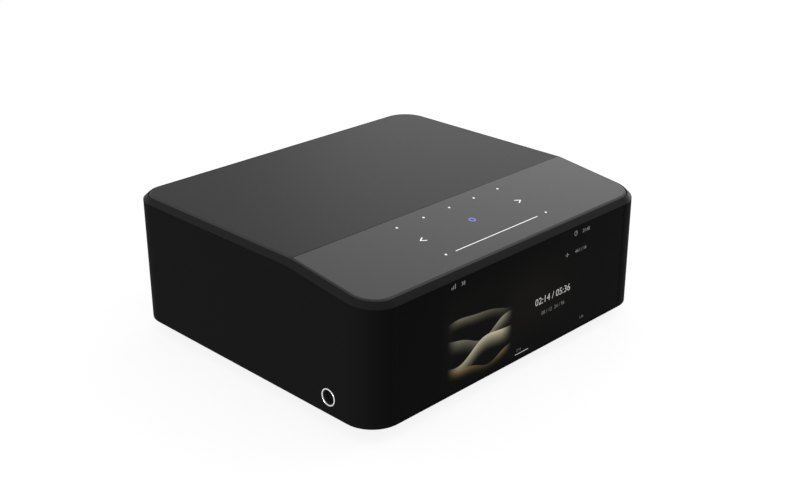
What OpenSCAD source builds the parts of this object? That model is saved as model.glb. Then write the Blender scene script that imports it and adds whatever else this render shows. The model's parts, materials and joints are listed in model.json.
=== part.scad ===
// Compact network music streamer: a wrap-round cabinet with a sloped touch panel, a display
// behind a full-front lens and a recessed connector bay at the back.
// Millimetres. +Z is up, the front faces -Y, the origin is on the table under the middle.

/* [Cabinet] */
// Width of the cabinet
body_w = 220; // [214:1:260]
// Depth of the cabinet
body_d = 194; // [184:1:240]
// Height of the cabinet at its flat top, without the feet
body_h = 75.5; // [75:0.5:95]
// Radius of the upright corners
corner_r = 17.5; // [14:0.5:20]
// Thickness of the cabinet walls
wall = 3; // [2.6:0.1:3.6]
// How far the top falls from the crease to the front face
front_drop = 7.8; // [5:0.1:8]
// Distance from the front face back to the crease
slope_d = 60; // [54:1:80]
// Width of the chamfered band round the top, seen from above
band_w = 2.7; // [2:0.1:3.4]
// Height of the chamfered band
band_h = 2.4; // [1.5:0.1:2.4]
// Width of the flat edge along the inside of the band
rim_land = 0.25; // [0.15:0.05:0.5]
// Width of the ledge under the top panels
ledge_w = 4; // [3:0.5:6]
// Thickness of that ledge
ledge_t = 1.6; // [1.2:0.1:1.8]
// Width of the rail under the crease
rail_w = 8; // [6:0.5:10]
// Thickness of the rail under the crease
rail_t = 3; // [2:0.5:5]

/* [Top panels] */
// Thickness of the top cover and the control panel
panel_t = 1.8; // [1.5:0.1:2]
// Width of the bevel along the edge of the top panels
lip_w = 1.5; // [0.8:0.1:2]
// Height of that bevel
lip_h = 0.55; // [0.3:0.05:0.8]
// Gap between the top panels and the band
panel_gap = 0.15; // [0.1:0.05:0.3]
// Seam between the two panels at the crease
seam = 0.2; // [0.1:0.05:0.4]

/* [Front] */
// Distance from the round of the corner to the side of the lens
lens_margin = 1.5; // [0.5:0.1:6]
// Thickness of the lens
lens_t = 1.8; // [1.2:0.1:2]
// Height of the sill under the lens
lens_sill = 1.2; // [1:0.1:1.3]
// Height of the strip between the lens and the band
lens_head = 0.6; // [0.5:0.1:0.7]
// Radius of the corners of the lens
lens_r = 1; // [0.5:0.1:2]
// Gap round the lens
lens_gap = 0.1; // [0.05:0.05:0.2]
// Width of the display module
module_w = 128; // [112:1:156]
// Distance from the top and bottom of the lens to the display module
module_rest = 0.5; // [0.4:0.05:4]
// Thickness of the display module
module_t = 4; // [3:0.5:6]
// Radius of the corners of the display module
module_r = 0.4; // [0.3:0.1:0.8]
// Gap between the display module and the window it sits in
module_gap = 0.2; // [0.1:0.05:0.3]
// Width of the display bracket
bracket_w = 110; // [80:1:124]
// Height of the display bracket
bracket_h = 50; // [35:1:56]
// Depth of the bracket foot
bracket_d = 13; // [11:0.5:18]
// Thickness of the bracket sheet
bracket_t = 1.2; // [1:0.1:1.5]
// Distance from the bracket screws to the rear edge of its foot
bracket_edge = 4.9; // [4.5:0.1:5]
// Distance from a bracket screw to the side of the bracket
bracket_in = 12; // [8:1:16]
// Height of the notch for the ribbon
notch_h = 12; // [8:1:16]
// Gap between the ribbon and the sides of the notch
notch_gap = 2; // [1:0.5:3]
// Width of the display ribbon
ribbon_w = 24; // [16:1:30]
// Thickness of the display ribbon
ribbon_t = 0.4; // [0.2:0.05:0.6]
// Height of the ribbon above the base plate at the display
ribbon_up = 5; // [3:0.5:7]
// Length of the stretch of ribbon that climbs to the main board
ribbon_climb = 17; // [12:1:24]
// Length of ribbon that runs level before the edge of the main board
ribbon_level = 3; // [2:0.5:5]
// Length of ribbon that lies on the main board
ribbon_lap = 8; // [6:0.5:12]

/* [Touch panel] */
// Width of the light guide and the touch board
touch_w = 104; // [92:1:160]
// Distance from the ledge at the front to the light guide and the touch board
touch_front = 4; // [3:0.5:8]
// Thickness of the light guide
guide_t = 1; // [0.6:0.1:2]
// Thickness of the touch board
touch_t = 1.2; // [0.8:0.1:1.6]
// Gap between the touch board and the rail under the crease
touch_gap = 1; // [0.5:0.1:2]

/* [Base] */
// Height of the feet
foot_h = 8.5; // [7:0.5:12]
// Radius of the feet
foot_r = 13; // [11:0.5:16]
// Distance from the cabinet side to the middle of a foot
foot_inset = 34; // [28:1:40]
// How much a foot narrows towards the table
foot_taper = 0.4; // [0.2:0.1:0.8]
// Width of the bevel at the lower edge of a foot
foot_bevel = 0.8; // [0.5:0.1:1]
// Height of that bevel
foot_bevel_h = 1; // [0.5:0.1:1.5]
// Thickness of a foot above its screw head
foot_roof = 3.5; // [3:0.1:4]
// How far the foot screws stand out above the base plate
foot_screw_out = 1.5; // [1:0.1:2.5]
// Radius of the hole in a rubber pad
pad_hole = 6; // [5:0.5:7]
// Distance from the edge of a foot to its pad
pad_edge = 2; // [1.8:0.1:3]
// Gap round the pad in its groove
pad_gap = 0.1; // [0.05:0.05:0.2]
// How far the rubber pad stands below the foot
pad_drop = 1; // [0.5:0.1:1.5]
// Depth of the groove that holds the pad
pad_groove = 0.8; // [0.5:0.1:1.2]
// Thickness of the base plate
base_t = 1.5; // [1.2:0.1:1.5]
// Gap between the base plate and the walls
base_gap = 0.3; // [0.2:0.05:0.5]
// Radius of the screw bosses in the corners
boss_r = 5.5; // [5.3:0.1:6]
// How far a screw boss sinks into the corner
boss_sink = 0.8; // [0.6:0.1:1]
// How deep the heads of the base screws are sunk
screw_sink = 2; // [1.9:0.1:2.5]
// Height of the screw bosses
boss_h = 14; // [11:1:20]
// Length of the base screws under their heads
base_screw_l = 10; // [7:0.5:11]
// Wall of the cups that the base screws sit in
cup_t = 0.8; // [0.6:0.1:1]
// Distance from the middle to a row of vents
vent_x = 24; // [20:1:30]
// Distance that the vents lie behind the middle
vent_back = 8; // [0:1:12]
// Number of vents in a row
vent_count = 7; // [3:2:9]
// Length of a vent slot
vent_l = 26; // [18:1:32]
// Width of a vent slot
vent_w = 3; // [2:0.5:4]
// Distance between vent slots
vent_pitch = 8; // [6:0.5:10]

/* [Screws] */
// Radius of a screw shank
screw_r = 1.5; // [1.2:0.05:1.5]
// Radius of a screw head
head_r = 2.8; // [2.4:0.1:2.9]
// Height of a screw head
head_h = 1.8; // [1.2:0.1:2]
// Length of a screw under its head
screw_l = 5.6; // [4:0.1:6]
// Gap round a screw shank
screw_gap = 0.05; // [0.03:0.01:0.1]
// Gap round a screw head
head_gap = 0.4; // [0.2:0.1:0.5]
// Radius of the hexagon in a screw head
drive_r = 1.3; // [1:0.1:1.5]
// Depth of that hexagon
drive_d = 1; // [0.6:0.1:1.1]
// Gap between the tip of a screw and the end of its hole
tip_gap = 0.5; // [0.3:0.1:1]

/* [Rear bay] */
// Depth of the bay, from the rear face to the rear panel
bay_depth = 12; // [11:0.5:16]
// Distance from the round of the corner to the bay
bay_margin = 4.5; // [4:0.1:5]
// Height of the cabinet wall under the bay
bay_sill = 5.5; // [5:0.1:6]
// Height of the cabinet wall above the bay
bay_head = 11.5; // [9:0.1:12]
// Radius of the corners of the bay
bay_r = 4; // [3:0.5:6]
// Thickness of the frame walls
frame_t = 2; // [1.6:0.1:2]
// Gap between the frame and the cabinet
frame_gap = 0.15; // [0.1:0.05:0.3]
// Width of the lip behind the rear panel at each side
lip_side = 8; // [7.5:0.1:9]
// Width of that lip above and below
lip_end = 3; // [2:0.1:3.4]
// Thickness of that lip
lip_t = 2; // [1.5:0.1:2.5]
// Radius of the corners of the hole in that lip
lip_r = 1; // [0.5:0.5:2]
// Thickness of the rear panel
rear_t = 1.5; // [1.2:0.1:2]
// Distance from the rear screws to the top and bottom of the bay
rear_screw_in = 8; // [7:0.5:10]
// Wall round and behind the rear screw holes
rear_boss_t = 1; // [0.8:0.1:1.5]
// Gap between the rear bosses and the side of the lip
rear_boss_gap = 0.3; // [0.2:0.1:0.5]
// Gap round the rear panel and round the sockets in it
port_gap = 0.2; // [0.15:0.05:0.3]
// Distance between neighbouring sockets of the lower row
port_space = 4; // [3:0.1:4.5]
// Distance from the lip to the first and last sockets
port_edge = 0.3; // [0.2:0.1:1]
// How far the sockets stand out of the rear panel
port_out = 0.3; // [0.2:0.1:0.5]
// Gap between the rear panel and the bodies behind it
body_gap = 0.2; // [0.1:0.05:0.3]
// Distance from the top of the bay to the upper row of sockets
upper_drop = 18.4; // [17:0.1:19]
// Height of the upper row of sockets above the analog board
upper_rise = 13.3; // [13:0.1:14]

/* [Headphone sockets] */
// Distance from the front face to the headphone sockets
phone_back = 31.1; // [26:0.1:40]
// Height of the headphone sockets above the lower edge of the cabinet
phone_up = 9.9; // [9:0.1:16]
// Radius of the headphone bore
phone_r = 3.25; // [3.2:0.01:3.35]
// Depth of the headphone bore
phone_l = 21; // [18:1:28]
// Size of the square socket body
phone_body = 13; // [11:0.5:14]
// Wall behind the headphone bore
phone_end = 2; // [1.5:0.1:3]
// Depth of the countersink at the mouth of the bore
phone_sink = 0.8; // [0.5:0.1:1]
// Width of the board behind a headphone socket
phone_board_w = 26; // [18:1:30]
// Height of that board
phone_board_h = 30; // [24:1:36]
// Gap between that board and the base plate
phone_board_up = 1; // [0.5:0.1:2]
// Radius of the bright ring
ring_r = 5.1; // [4.9:0.1:6]
// Radius of the hole in the ring
ring_hole = 3.65; // [3.55:0.01:3.8]
// How far the ring stands out
ring_t = 0.5; // [0.3:0.1:1]
// Bevel of the ring
ring_bevel = 0.2; // [0.1:0.05:0.25]
// Wall of the sleeve behind the ring
sleeve_t = 0.8; // [0.5:0.1:1]
// Gap round the sleeve in the cabinet wall
sleeve_gap = 0.1; // [0.05:0.05:0.2]

/* [Optical sockets] */
// Width of an optical socket
optical_w = 9.8; // [9.8:0.1:11]
// Height of an optical socket
optical_h = 10.6; // [10.6:0.1:12]
// Depth of an optical socket
optical_d = 15; // [13:0.5:18]
// Wall of an optical socket
optical_t = 1; // [0.9:0.05:1.1]
// Thickness of its side walls
optical_side = 1.3; // [1.2:0.05:1.4]
// Width and height of the mouth
mouth = 6.6; // [6.2:0.1:6.6]
// Height of the mouth above the floor inside
mouth_up = 0.1; // [0.05:0.05:0.3]
// Thickness of a shutter
shutter_t = 0.8; // [0.6:0.05:0.8]
// Radius of the shutter trunnions
trunnion_r = 0.5; // [0.4:0.05:0.5]
// Gap round the trunnions
trunnion_gap = 0.05; // [0.03:0.01:0.08]
// Wall left outside the trunnions
trunnion_wall = 0.4; // [0.3:0.05:0.5]
// Distance from the roof inside to the shutter pivot
pivot_drop = 0.7; // [0.65:0.05:0.9]
// Height of the shutter above its pivot
pivot_head = 0.4; // [0.3:0.05:0.5]
// Gap round the shutter
shutter_gap = 0.15; // [0.12:0.01:0.2]
// Gap behind the shutter when it is fully open
swing_gap = 0.3; // [0.2:0.1:0.8]

/* [Other sockets] */
// Width of the Ethernet socket
ether_w = 16; // [15.5:0.1:17]
// Height of the Ethernet socket
ether_h = 13.6; // [13.4:0.1:15]
// Depth of the Ethernet socket
ether_d = 21; // [18:0.5:24]
// Width of the hole for a network plug
plug_w = 11.8; // [11.7:0.1:12]
// Height of that hole
plug_h = 8; // [7.8:0.1:8.2]
// Depth of that hole
plug_d = 14; // [12.5:0.5:16]
// Height of that hole above the board
plug_up = 3.8; // [3.6:0.1:4]
// Width of the slot for the latch of the plug
latch_w = 6.2; // [6:0.1:6.6]
// Depth of that slot
latch_d = 10; // [8:0.5:12]
// Height of that slot above the board
latch_up = 1.4; // [1.2:0.1:1.6]
// Distance between the contacts
contact_pitch = 1.02; // [1:0.01:1.04]
// Thickness of a contact
contact_t = 0.4; // [0.3:0.05:0.45]
// Length of a contact
contact_l = 10; // [8:0.5:12]
// How far a contact springs down into the hole
contact_drop = 2.6; // [2:0.1:3]
// Distance from the back of the hole to the tip of a contact
contact_back = 2; // [1.5:0.1:2.5]
// Width of the HDMI socket
hdmi_w = 15; // [14.8:0.1:16]
// Height of the HDMI socket
hdmi_h = 6; // [5.8:0.1:6.6]
// Depth of the HDMI socket
hdmi_d = 12; // [11:0.5:14]
// Width of the cut at its lower corners
hdmi_cut_w = 1.4; // [1.2:0.1:1.6]
// Height of that cut
hdmi_cut_h = 2; // [1.6:0.1:2.2]
// Thickness of its tongue
hdmi_tongue_t = 1.1; // [0.9:0.1:1.3]
// Width of the USB socket
usb_w = 13.1; // [13:0.1:14]
// Height of the USB socket
usb_h = 5.8; // [5.7:0.1:6.4]
// Depth of the USB socket
usb_d = 14; // [13:0.5:16]
// Thickness of its tongue
usb_tongue_t = 1.8; // [1.5:0.1:2]
// Width of the HDMI and USB tongues
tongue_w = 11.2; // [10.8:0.1:11.6]
// Height of those tongues above the board
tongue_up = 3; // [2.8:0.1:3.2]
// How far those tongues stay behind the face
tongue_in = 2; // [1:0.5:3]
// Wall of the HDMI and USB shells
shell_t = 0.5; // [0.4:0.05:0.6]
// Radius of the corners of the sockets
shell_r = 0.3; // [0.2:0.1:0.5]
// Thickness of their backs
shell_back = 2; // [1.5:0.1:3]
// Radius of a 3.5 mm socket bore
mini_r = 1.8; // [1.78:0.01:1.9]
// Depth of a 3.5 mm socket bore
mini_l = 13; // [12:0.5:15]
// Width of a 3.5 mm socket body
mini_w = 7; // [6.5:0.1:8]
// Height of a 3.5 mm socket body
mini_h = 6.8; // [6.4:0.1:7.4]
// Height of the 3.5 mm bores and the setup button above the board
mini_up = 3.4; // [3.2:0.1:3.6]
// Wall behind a 3.5 mm bore
mini_end = 2; // [1.5:0.1:3]
// Radius of the setup button
button_r = 1.75; // [1.5:0.05:2]
// Travel of the setup button
button_travel = 0.8; // [0.5:0.1:1.2]
// How far the setup button stands out
button_out = 1.1; // [0.9:0.1:1.6]
// Gap round the setup button in the rear panel
button_gap = 0.3; // [0.2:0.05:0.4]
// Gap round the setup button in its switch
plunger_gap = 0.1; // [0.08:0.01:0.15]
// Gap left behind the setup button when it is pressed
button_rest = 0.3; // [0.2:0.1:0.6]
// Width of the switch
switch_w = 6; // [5.5:0.1:7]
// Height of the switch
switch_h = 6.6; // [6:0.1:7.5]
// Depth of the switch
switch_d = 6.5; // [6:0.1:8]
// Depth of the hole in the switch
switch_hole = 3.5; // [3:0.1:4]
// Distance from the lip to the switch
switch_in = 1.5; // [1:0.1:2]
// Radius of a phono barrel
rca_r = 4.15; // [4.1:0.01:4.2]
// Length of a phono barrel in front of the rear panel
rca_l = 9; // [8:0.5:10]
// Wall of a phono barrel
rca_t = 1; // [0.8:0.05:1.2]
// Step between the barrel and its shank
rca_step = 0.3; // [0.25:0.05:0.4]
// Length of the shank behind the rear panel
rca_tail = 8; // [7:0.5:10]
// Gap round the shank
rca_gap = 0.1; // [0.05:0.05:0.2]
// Radius of the hole for the pin of a phono plug
rca_pin_r = 1.6; // [1.55:0.05:1.8]
// How far the insulator stays inside the barrel
rca_recess = 1.2; // [0.5:0.1:2]
// Wall behind the shank in the housing
rca_end = 2; // [1:0.5:3]
// Thickness of a coloured collar
collar_t = 2; // [1.5:0.1:2.5]
// How far a collar stands out round the barrel
collar_w = 1.7; // [1:0.1:2]
// Distance from the edge of the analog board to the first phono socket
rca_edge = 7; // [6.5:0.1:7.5]
// Distance between phono sockets
rca_pitch = 14; // [13:0.5:14.5]
// Width of a phono housing
rca_w = 12; // [11:0.1:12.5]
// Inner radius of a balanced socket
xlr_r = 9.5; // [9.3:0.1:9.6]
// Wall of a balanced socket
xlr_t = 2; // [1.5:0.1:2]
// Depth of a balanced socket behind the rear panel
xlr_d = 17; // [16:0.5:20]
// Width of the flange of a balanced socket
xlr_w = 26; // [25:0.1:27]
// Height of that flange
xlr_h = 30; // [29:0.1:31]
// Distance between balanced sockets
xlr_pitch = 29; // [27.5:0.5:31]
// Gap between the last phono housing and the first flange
xlr_space = 3; // [2:0.1:3.5]
// Thickness of the flange
flange_t = 2; // [1.5:0.1:2.5]
// Radius of the corners of the flange
flange_r = 4; // [2:0.5:5]
// Distance from the flange screws to the edges of the flange
flange_screw_in = 3.4; // [3.2:0.1:3.6]
// Thickness of the insert that holds the pins
insert_t = 5; // [4:0.5:6]
// Radius of the circle that the pins stand on
pin_circle = 4.4; // [4.2:0.1:4.6]
// Radius of a pin
pin_r = 1.2; // [1.1:0.05:1.25]
// How far a pin stands out behind the insert
pin_tail = 3; // [2:0.5:4]
// Distance from a pin tip to the rear panel
pin_in = 1; // [0.5:0.1:3]
// Gap round a pressed-in insert or pin
fit_gap = 0.05; // [0.03:0.01:0.08]
// Width of the mains inlet
inlet_w = 21; // [20:0.5:24]
// Height of the mains inlet
inlet_h = 12.6; // [12:0.1:14]
// Depth of the recess in the mains inlet
inlet_l = 12; // [11:0.5:14]
// Radius of the two rounds of that recess
inlet_r = 4.1; // [4:0.05:4.3]
// Distance from the middle of the recess to the middle of a round
inlet_spread = 4; // [3.8:0.1:4.2]
// Height of the web between the rounds
inlet_web = 6.8; // [6.6:0.1:7]
// Thickness of the inlet behind its recess
inlet_end = 5; // [4:0.5:7]
// Radius of an inlet pin
inlet_pin_r = 1.18; // [1.15:0.01:1.2]
// Distance from the middle of the recess to a pin
inlet_pin_x = 4.3; // [4.2:0.05:4.35]
// Depth of a pin in the floor of the recess
inlet_pin_seat = 2; // [1.5:0.1:3]
// Distance from a pin tip to the face of the inlet
inlet_pin_in = 3; // [1:0.5:5]

/* [Boards] */
// Thickness of the boards
board_t = 1.6; // [1.2:0.1:1.6]
// Height of the board standoffs
standoff_h = 6; // [5.8:0.1:8]
// Radius of the standoffs and spacers
standoff_r = 3; // [2.5:0.1:3.2]
// Depth of the main board
main_d = 108; // [96:1:110]
// Depth of the analog board
analog_d = 60; // [52:1:70]
// Width of the power board
power_w = 43; // [40:1:46]
// Depth of the power board
power_d = 116; // [100:1:118]
// Distance from the power board to the side wall
power_side = 6; // [5:0.5:8]
// Gap between the power board and the lip
power_gap = 3; // [2:0.5:6]
// Distance from the left side of the analog board to the first flange
analog_left = 5; // [4:0.5:6]
// Distance from the left side of the main board to the analog board
main_left = 9; // [6:0.5:11]
// Distance from the last socket or the analog board to the right side of the main board
main_right = 1; // [0.5:0.5:4]
// Gap between the main and analog boards and the lip
board_gap = 0.3; // [0.2:0.1:0.6]
// Distance from the holes of a board to its edges
hole_edge = 4; // [3.8:0.1:5]
// Distance from the rear edge of the main and power boards to their rear holes
hole_back = 29; // [26:1:34]
// Distance from the rear edge of the analog board to its rear holes
analog_hole_back = 18; // [16:1:20]
// Width of the processor
chip_w = 20; // [14:1:24]
// Thickness of the processor
chip_t = 1.5; // [1:0.1:2.5]
// Distance from the left side of the main board to the middle of the processor
chip_x = 56; // [48:1:60]
// Distance from the rear edge of the main board to the middle of the processor
chip_back = 75; // [72:1:76]
// Width of the processor heatsink
sink_w = 38; // [30:1:40]
// Thickness of the base of a heatsink
sink_t = 3; // [2:0.1:4]
// Height of the processor heatsink
sink_h = 12; // [8:0.5:13]
// Number of its fins
sink_fins = 10; // [5:1:11]
// Thickness of a fin
fin_t = 2; // [1.2:0.1:2.2]
// Width of the radio module
radio_w = 22; // [18:1:26]
// Depth of the radio module
radio_d = 18; // [14:1:22]
// Thickness of the radio module
radio_t = 3; // [2:0.1:4]
// Distance from the right side of the main board to the radio module
radio_side = 18; // [12:1:24]
// Gap between the end of the display ribbon and the radio module
radio_gap = 3; // [1:0.5:6]
// Length of an aerial
aerial_l = 40; // [30:1:44]
// Width of an aerial
aerial_w = 10; // [8:0.5:12]
// Thickness of an aerial
aerial_t = 0.8; // [0.6:0.1:1.2]
// Distance from the side of the cabinet to an aerial
aerial_side = 10; // [10:1:14]
// Distance from the rear face to an aerial
aerial_back = 20; // [14:1:26]
// Radius of the audio capacitors
audio_r = 5; // [4:0.5:6]
// Height of the audio capacitors
audio_h = 16; // [10:1:20]
// Distance between audio capacitors
audio_pitch = 14; // [12.5:0.5:14.5]
// Distance from the side of the analog board to the first audio capacitor
audio_side = 24; // [18:1:30]
// Distance from the front edge of the analog board to the first row of them
audio_in = 10; // [8:0.5:11]
// Distance from the front edge of the power board to its heatsink
power_sink_in = 10; // [8:0.5:11]
// Width of the heatsink on the power board
power_sink_w = 32; // [24:1:34]
// Height of that heatsink
power_sink_h = 24; // [16:1:30]
// Depth of that heatsink with its fins
power_sink_d = 8; // [6:0.5:9]
// Number of fins on it
power_fins = 7; // [4:1:8]
// Distance between the large parts of the power board
power_space = 5; // [2:0.5:6]
// Radius of the bulk capacitors
bulk_r = 9; // [7:0.5:10]
// Height of the bulk capacitors
bulk_h = 30; // [20:1:40]
// Gap between the two bulk capacitors
bulk_gap = 3; // [1:0.5:4]
// Width of the transformer
core_w = 30; // [26:1:34]
// Depth of the transformer
core_d = 26; // [24:1:30]
// Height of the lower half of its core
core_h = 9; // [6:0.5:11]
// Radius of its winding
coil_r = 11.5; // [10:0.5:12]
// Height of its winding
coil_h = 12; // [8:0.5:16]
// Depth of the upper half of its core
yoke_d = 18; // [14:1:22]
// Height of the upper half of its core
yoke_h = 5; // [3:0.5:7]

/* [Hidden] */
$fn = 64;
over = 1;
corner_steps = 16;
pin_angles = [30, 150, 270];
front_y = -body_d / 2;
rear_y = body_d / 2;
z_base = foot_h;
floor_z = z_base + base_t;
z_top = z_base + body_h;
crease_y = front_y + slope_d;
seat_inset = band_w + rim_land;
hole_r = screw_r + screw_gap;

boss_reach = (corner_r - wall - boss_r + boss_sink) / sqrt(2);
boss_x = body_w / 2 - corner_r + boss_reach;
boss_y = body_d / 2 - corner_r + boss_reach;
boss_z = floor_z + screw_sink;
foot_x = body_w / 2 - foot_inset;
foot_y = body_d / 2 - foot_inset;
foot_seat = foot_h - foot_roof;
pad_r = foot_r - pad_edge;

lens_w = body_w - 2 * (corner_r + lens_margin);
lens_z0 = z_base + lens_sill;
lens_z1 = z_top - front_drop - lip_h - band_h - lens_head;
lens_h = lens_z1 - lens_z0;
lens_zc = (lens_z0 + lens_z1) / 2;
module_h = lens_h - 2 * module_rest;
module_y = front_y + lens_t;
bracket_y = module_y + module_t;
bracket_hole = bracket_y + bracket_d - bracket_edge;
touch_y = crease_y - rail_w / 2 - touch_gap;
touch_d = slope_d - seat_inset - ledge_w - rail_w / 2 - touch_gap - touch_front;

bay_w = body_w - 2 * (corner_r + bay_margin);
bay_z0 = z_base + bay_sill;
bay_z1 = z_top - bay_head;
bay_h = bay_z1 - bay_z0;
bay_zc = (bay_z0 + bay_z1) / 2;
panel_y = rear_y - bay_depth;
seat_y = panel_y - rear_t;
lip_y = seat_y - lip_t;
port_y = panel_y + port_out;
rear_sx = bay_w / 2 - lip_side / 2;
rear_sz = bay_h / 2 - rear_screw_in;
rear_boss_r = lip_side / 2 - rear_boss_gap;
rear_hole_y = panel_y - screw_l - tip_gap;
bay_left = -bay_w / 2 + lip_side + port_edge;
bay_right = bay_w / 2 - lip_side - port_edge;

button_x = bay_left + switch_w / 2;
mini_x2 = button_x + (switch_w + mini_w) / 2 + port_space;
mini_x1 = mini_x2 + mini_w + port_space;
ether_x = mini_x1 + (mini_w + ether_w) / 2 + port_space;
usb_x = ether_x + (ether_w + usb_w) / 2 + port_space;
hdmi_x = usb_x + (usb_w + hdmi_w) / 2 + port_space;
optical_out_x = hdmi_x + (hdmi_w + optical_w) / 2 + port_space;
optical_in_x = optical_out_x + optical_w + port_space;
inlet_x = bay_right - inlet_w / 2;

upper_z = bay_z1 - upper_drop;
xlr_x = [for (i = [0:1]) bay_left + xlr_w / 2 + i * xlr_pitch];
xlr_floor = panel_y - xlr_d + insert_t;
rca_x = [for (i = [0:3]) xlr_x[1] + xlr_w / 2 + xlr_space + rca_w / 2 + i * rca_pitch];
rca_shank = rca_r - rca_step;

board_y = lip_y - board_gap;
board_z = floor_z + standoff_h;
deck_z = board_z + board_t;
analog_top = upper_z - upper_rise;
analog_z = analog_top - board_t;
analog_x0 = xlr_x[0] - xlr_w / 2 - analog_left;
analog_x1 = rca_x[3] + rca_edge;
main_x0 = analog_x0 - main_left;
main_x1 = max(analog_x1, optical_in_x + optical_w / 2) + main_right;
main_y0 = board_y - main_d;
power_x1 = body_w / 2 - wall - power_side;
power_x0 = power_x1 - power_w;
power_x = (power_x0 + power_x1) / 2;
power_y = lip_y - power_gap;
power_y0 = power_y - power_d;

power_sink_y = power_y0 + power_sink_in;
bulk_y = power_sink_y + power_sink_d + power_space + bulk_r;
core_y = bulk_y + bulk_r + power_space;
chip_xc = main_x0 + chip_x;
chip_yc = board_y - chip_back;
radio_x = main_x1 - radio_side - radio_w;
radio_y = main_y0 + ribbon_lap + radio_gap;

mini_z = deck_z + mini_up;
inlet_z = deck_z + inlet_h / 2;
shutter_z = deck_z + optical_h - optical_t - pivot_drop;
shutter_y = port_y - optical_t - shutter_gap - shutter_t / 2;
shutter_bottom = deck_z + optical_t + shutter_gap;
optical_room = shutter_gap + shutter_t + shutter_z - shutter_bottom + swing_gap;
phone_y = front_y + phone_back;
phone_z = z_base + phone_up;
phone_x = -body_w / 2 + wall;

// Height of the top at a distance from front to back
function roof(y) = y >= crease_y ? z_top : z_top - (crease_y - y) * front_drop / slope_d;

// Quarter round of the outline about a corner centre, from a start angle
function quarter(cx, cy, r, start) = [for (i = [0:corner_steps])
    let (a = start + 90 * i / corner_steps) [cx + r * cos(a), cy + r * sin(a)]];

// Outline of the cabinet moved inwards, with a point on each side at the crease
function outline(inset) =
    let (x = body_w / 2, c = body_w / 2 - corner_r, d = body_d / 2 - corner_r, r = corner_r - inset)
    concat([[x - inset, crease_y]], quarter(c, d, r, 0), quarter(-c, d, r, 90), [[inset - x, crease_y]],
        quarter(-c, -d, r, 180), quarter(c, -d, r, 270));

// The same outline lifted to a distance below the top
function rim(inset, drop) = [for (p = outline(inset)) [p.x, p.y, roof(p.y) - drop]];

// Solid under the whole top, with an edge that slopes off all round
module bevelled_top(inset, w, h, drop) {
    out = 2 * over;
    n = len(outline(0));
    half = 2 * corner_steps + 3;
    low = [for (p = outline(inset - out)) [p.x, p.y, z_base - over]];
    rings = concat(low, rim(inset - out, drop + h + out * h / w), rim(inset + w, drop));
    sides = [for (k = [0:1], i = [0:n - 1], t = [0:1]) let (a = k * n + i, b = k * n + (i + 1) % n)
        t == 0 ? [a, a + n, b] : [b, a + n, b + n]];
    polyhedron(rings, concat(sides, [[for (i = [0:n - 1]) i]],
        [[for (i = [half:-1:0]) 2 * n + i]], [concat([2 * n], [for (i = [n - 1:-1:half]) 2 * n + i])]));
}

module rounded_rect(w, d, r) {
    square([w - 2 * r, d], center = true);
    square([w, d - 2 * r], center = true);
    for (sx = [-1, 1], sy = [-1, 1]) translate([sx * (w / 2 - r), sy * (d / 2 - r)]) circle(r);
}

module slot(l, w) {
    square([l - w, w], center = true);
    for (s = [-1, 1]) translate([s * (l - w) / 2, 0]) circle(w / 2);
}

module block(x0, x1, y0, y1, z0, z1) translate([x0, y0, z0]) cube([x1 - x0, y1 - y0, z1 - z0]);

// Outline of the cabinet moved inwards, as an upright solid
module upright(inset, z0, z1) translate([0, 0, z0]) linear_extrude(z1 - z0)
    rounded_rect(body_w - 2 * inset, body_d - 2 * inset, corner_r - inset);

// Everything lower than a distance below the top
module under_top(drop) {
    y0 = front_y - 2 * over;
    y1 = rear_y + 2 * over;
    z0 = z_base - 2 * over;
    rotate([90, 0, 90]) linear_extrude(body_w + 4 * over, center = true) polygon([
        [y0, z0], [y1, z0], [y1, z_top - drop], [crease_y, z_top - drop], [y0, roof(y0) - drop]]);
}

// Sheet between two distances below the top
module layer(from, to) difference() {
    under_top(from);
    under_top(to);
}

// Upright sheet across the depth
module sheet_y(w, h, r, y0, y1, x, z) translate([x, y1, z]) rotate([90, 0, 0]) linear_extrude(y1 - y0)
    rounded_rect(w, h, r);

module rod_y(r, y0, y1, x, z) translate([x, y1, z]) rotate([90, 0, 0]) cylinder(r = r, h = y1 - y0);

module rod_x(r, x0, x1, y, z) translate([x0, y, z]) rotate([0, 90, 0]) cylinder(r = r, h = x1 - x0);

// Profile in depth and height, drawn out to a width about the middle
module across(w) translate([-w / 2, 0, 0]) rotate([90, 0, 90]) linear_extrude(w) children();

module tube(r0, r1, h) difference() {
    cylinder(r = r1, h = h);
    translate([0, 0, -over]) cylinder(r = r0, h = h + 2 * over);
}

// Pan-head screw with its seat at zero and its shank downwards
module screw(l) difference() {
    union() {
        cylinder(r = head_r, h = head_h);
        translate([0, 0, -l]) cylinder(r = screw_r, h = l + head_h / 2);
    }
    translate([0, 0, head_h - drive_d]) cylinder(r = drive_r, h = drive_d + over, $fn = 6);
}

module at_corners(x, y) for (sx = [-1, 1], sy = [-1, 1]) translate([sx * x, sy * y, 0]) children();

// Four holes of a board, two of them a distance behind its rear edge
module at_board_holes(x0, x1, y0, y1, back)
    for (x = [x0 + hole_edge, x1 - hole_edge], y = [y1 - back, y0 + hole_edge])
        translate([x, y, 0]) children();

module at_main_holes() at_board_holes(main_x0, main_x1, main_y0, board_y, hole_back) children();

module at_power_holes() at_board_holes(power_x0, power_x1, power_y0, power_y, hole_back) children();

module at_analog_holes()
    at_board_holes(analog_x0, analog_x1, board_y - analog_d, board_y, analog_hole_back) children();

module at_bracket_holes() for (s = [-1, 1])
    translate([s * (bracket_w / 2 - bracket_in), bracket_hole, 0]) children();

module at_rear_screws() for (sx = [-1, 1], sz = [-1, 1])
    translate([sx * rear_sx, 0, bay_zc + sz * rear_sz]) children();

module at_xlr_screws() for (x = xlr_x, s = [-1, 1])
    translate([x + s * (xlr_w / 2 - flange_screw_in), 0, upper_z + s * (xlr_h / 2 - flange_screw_in)])
        children();

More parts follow.
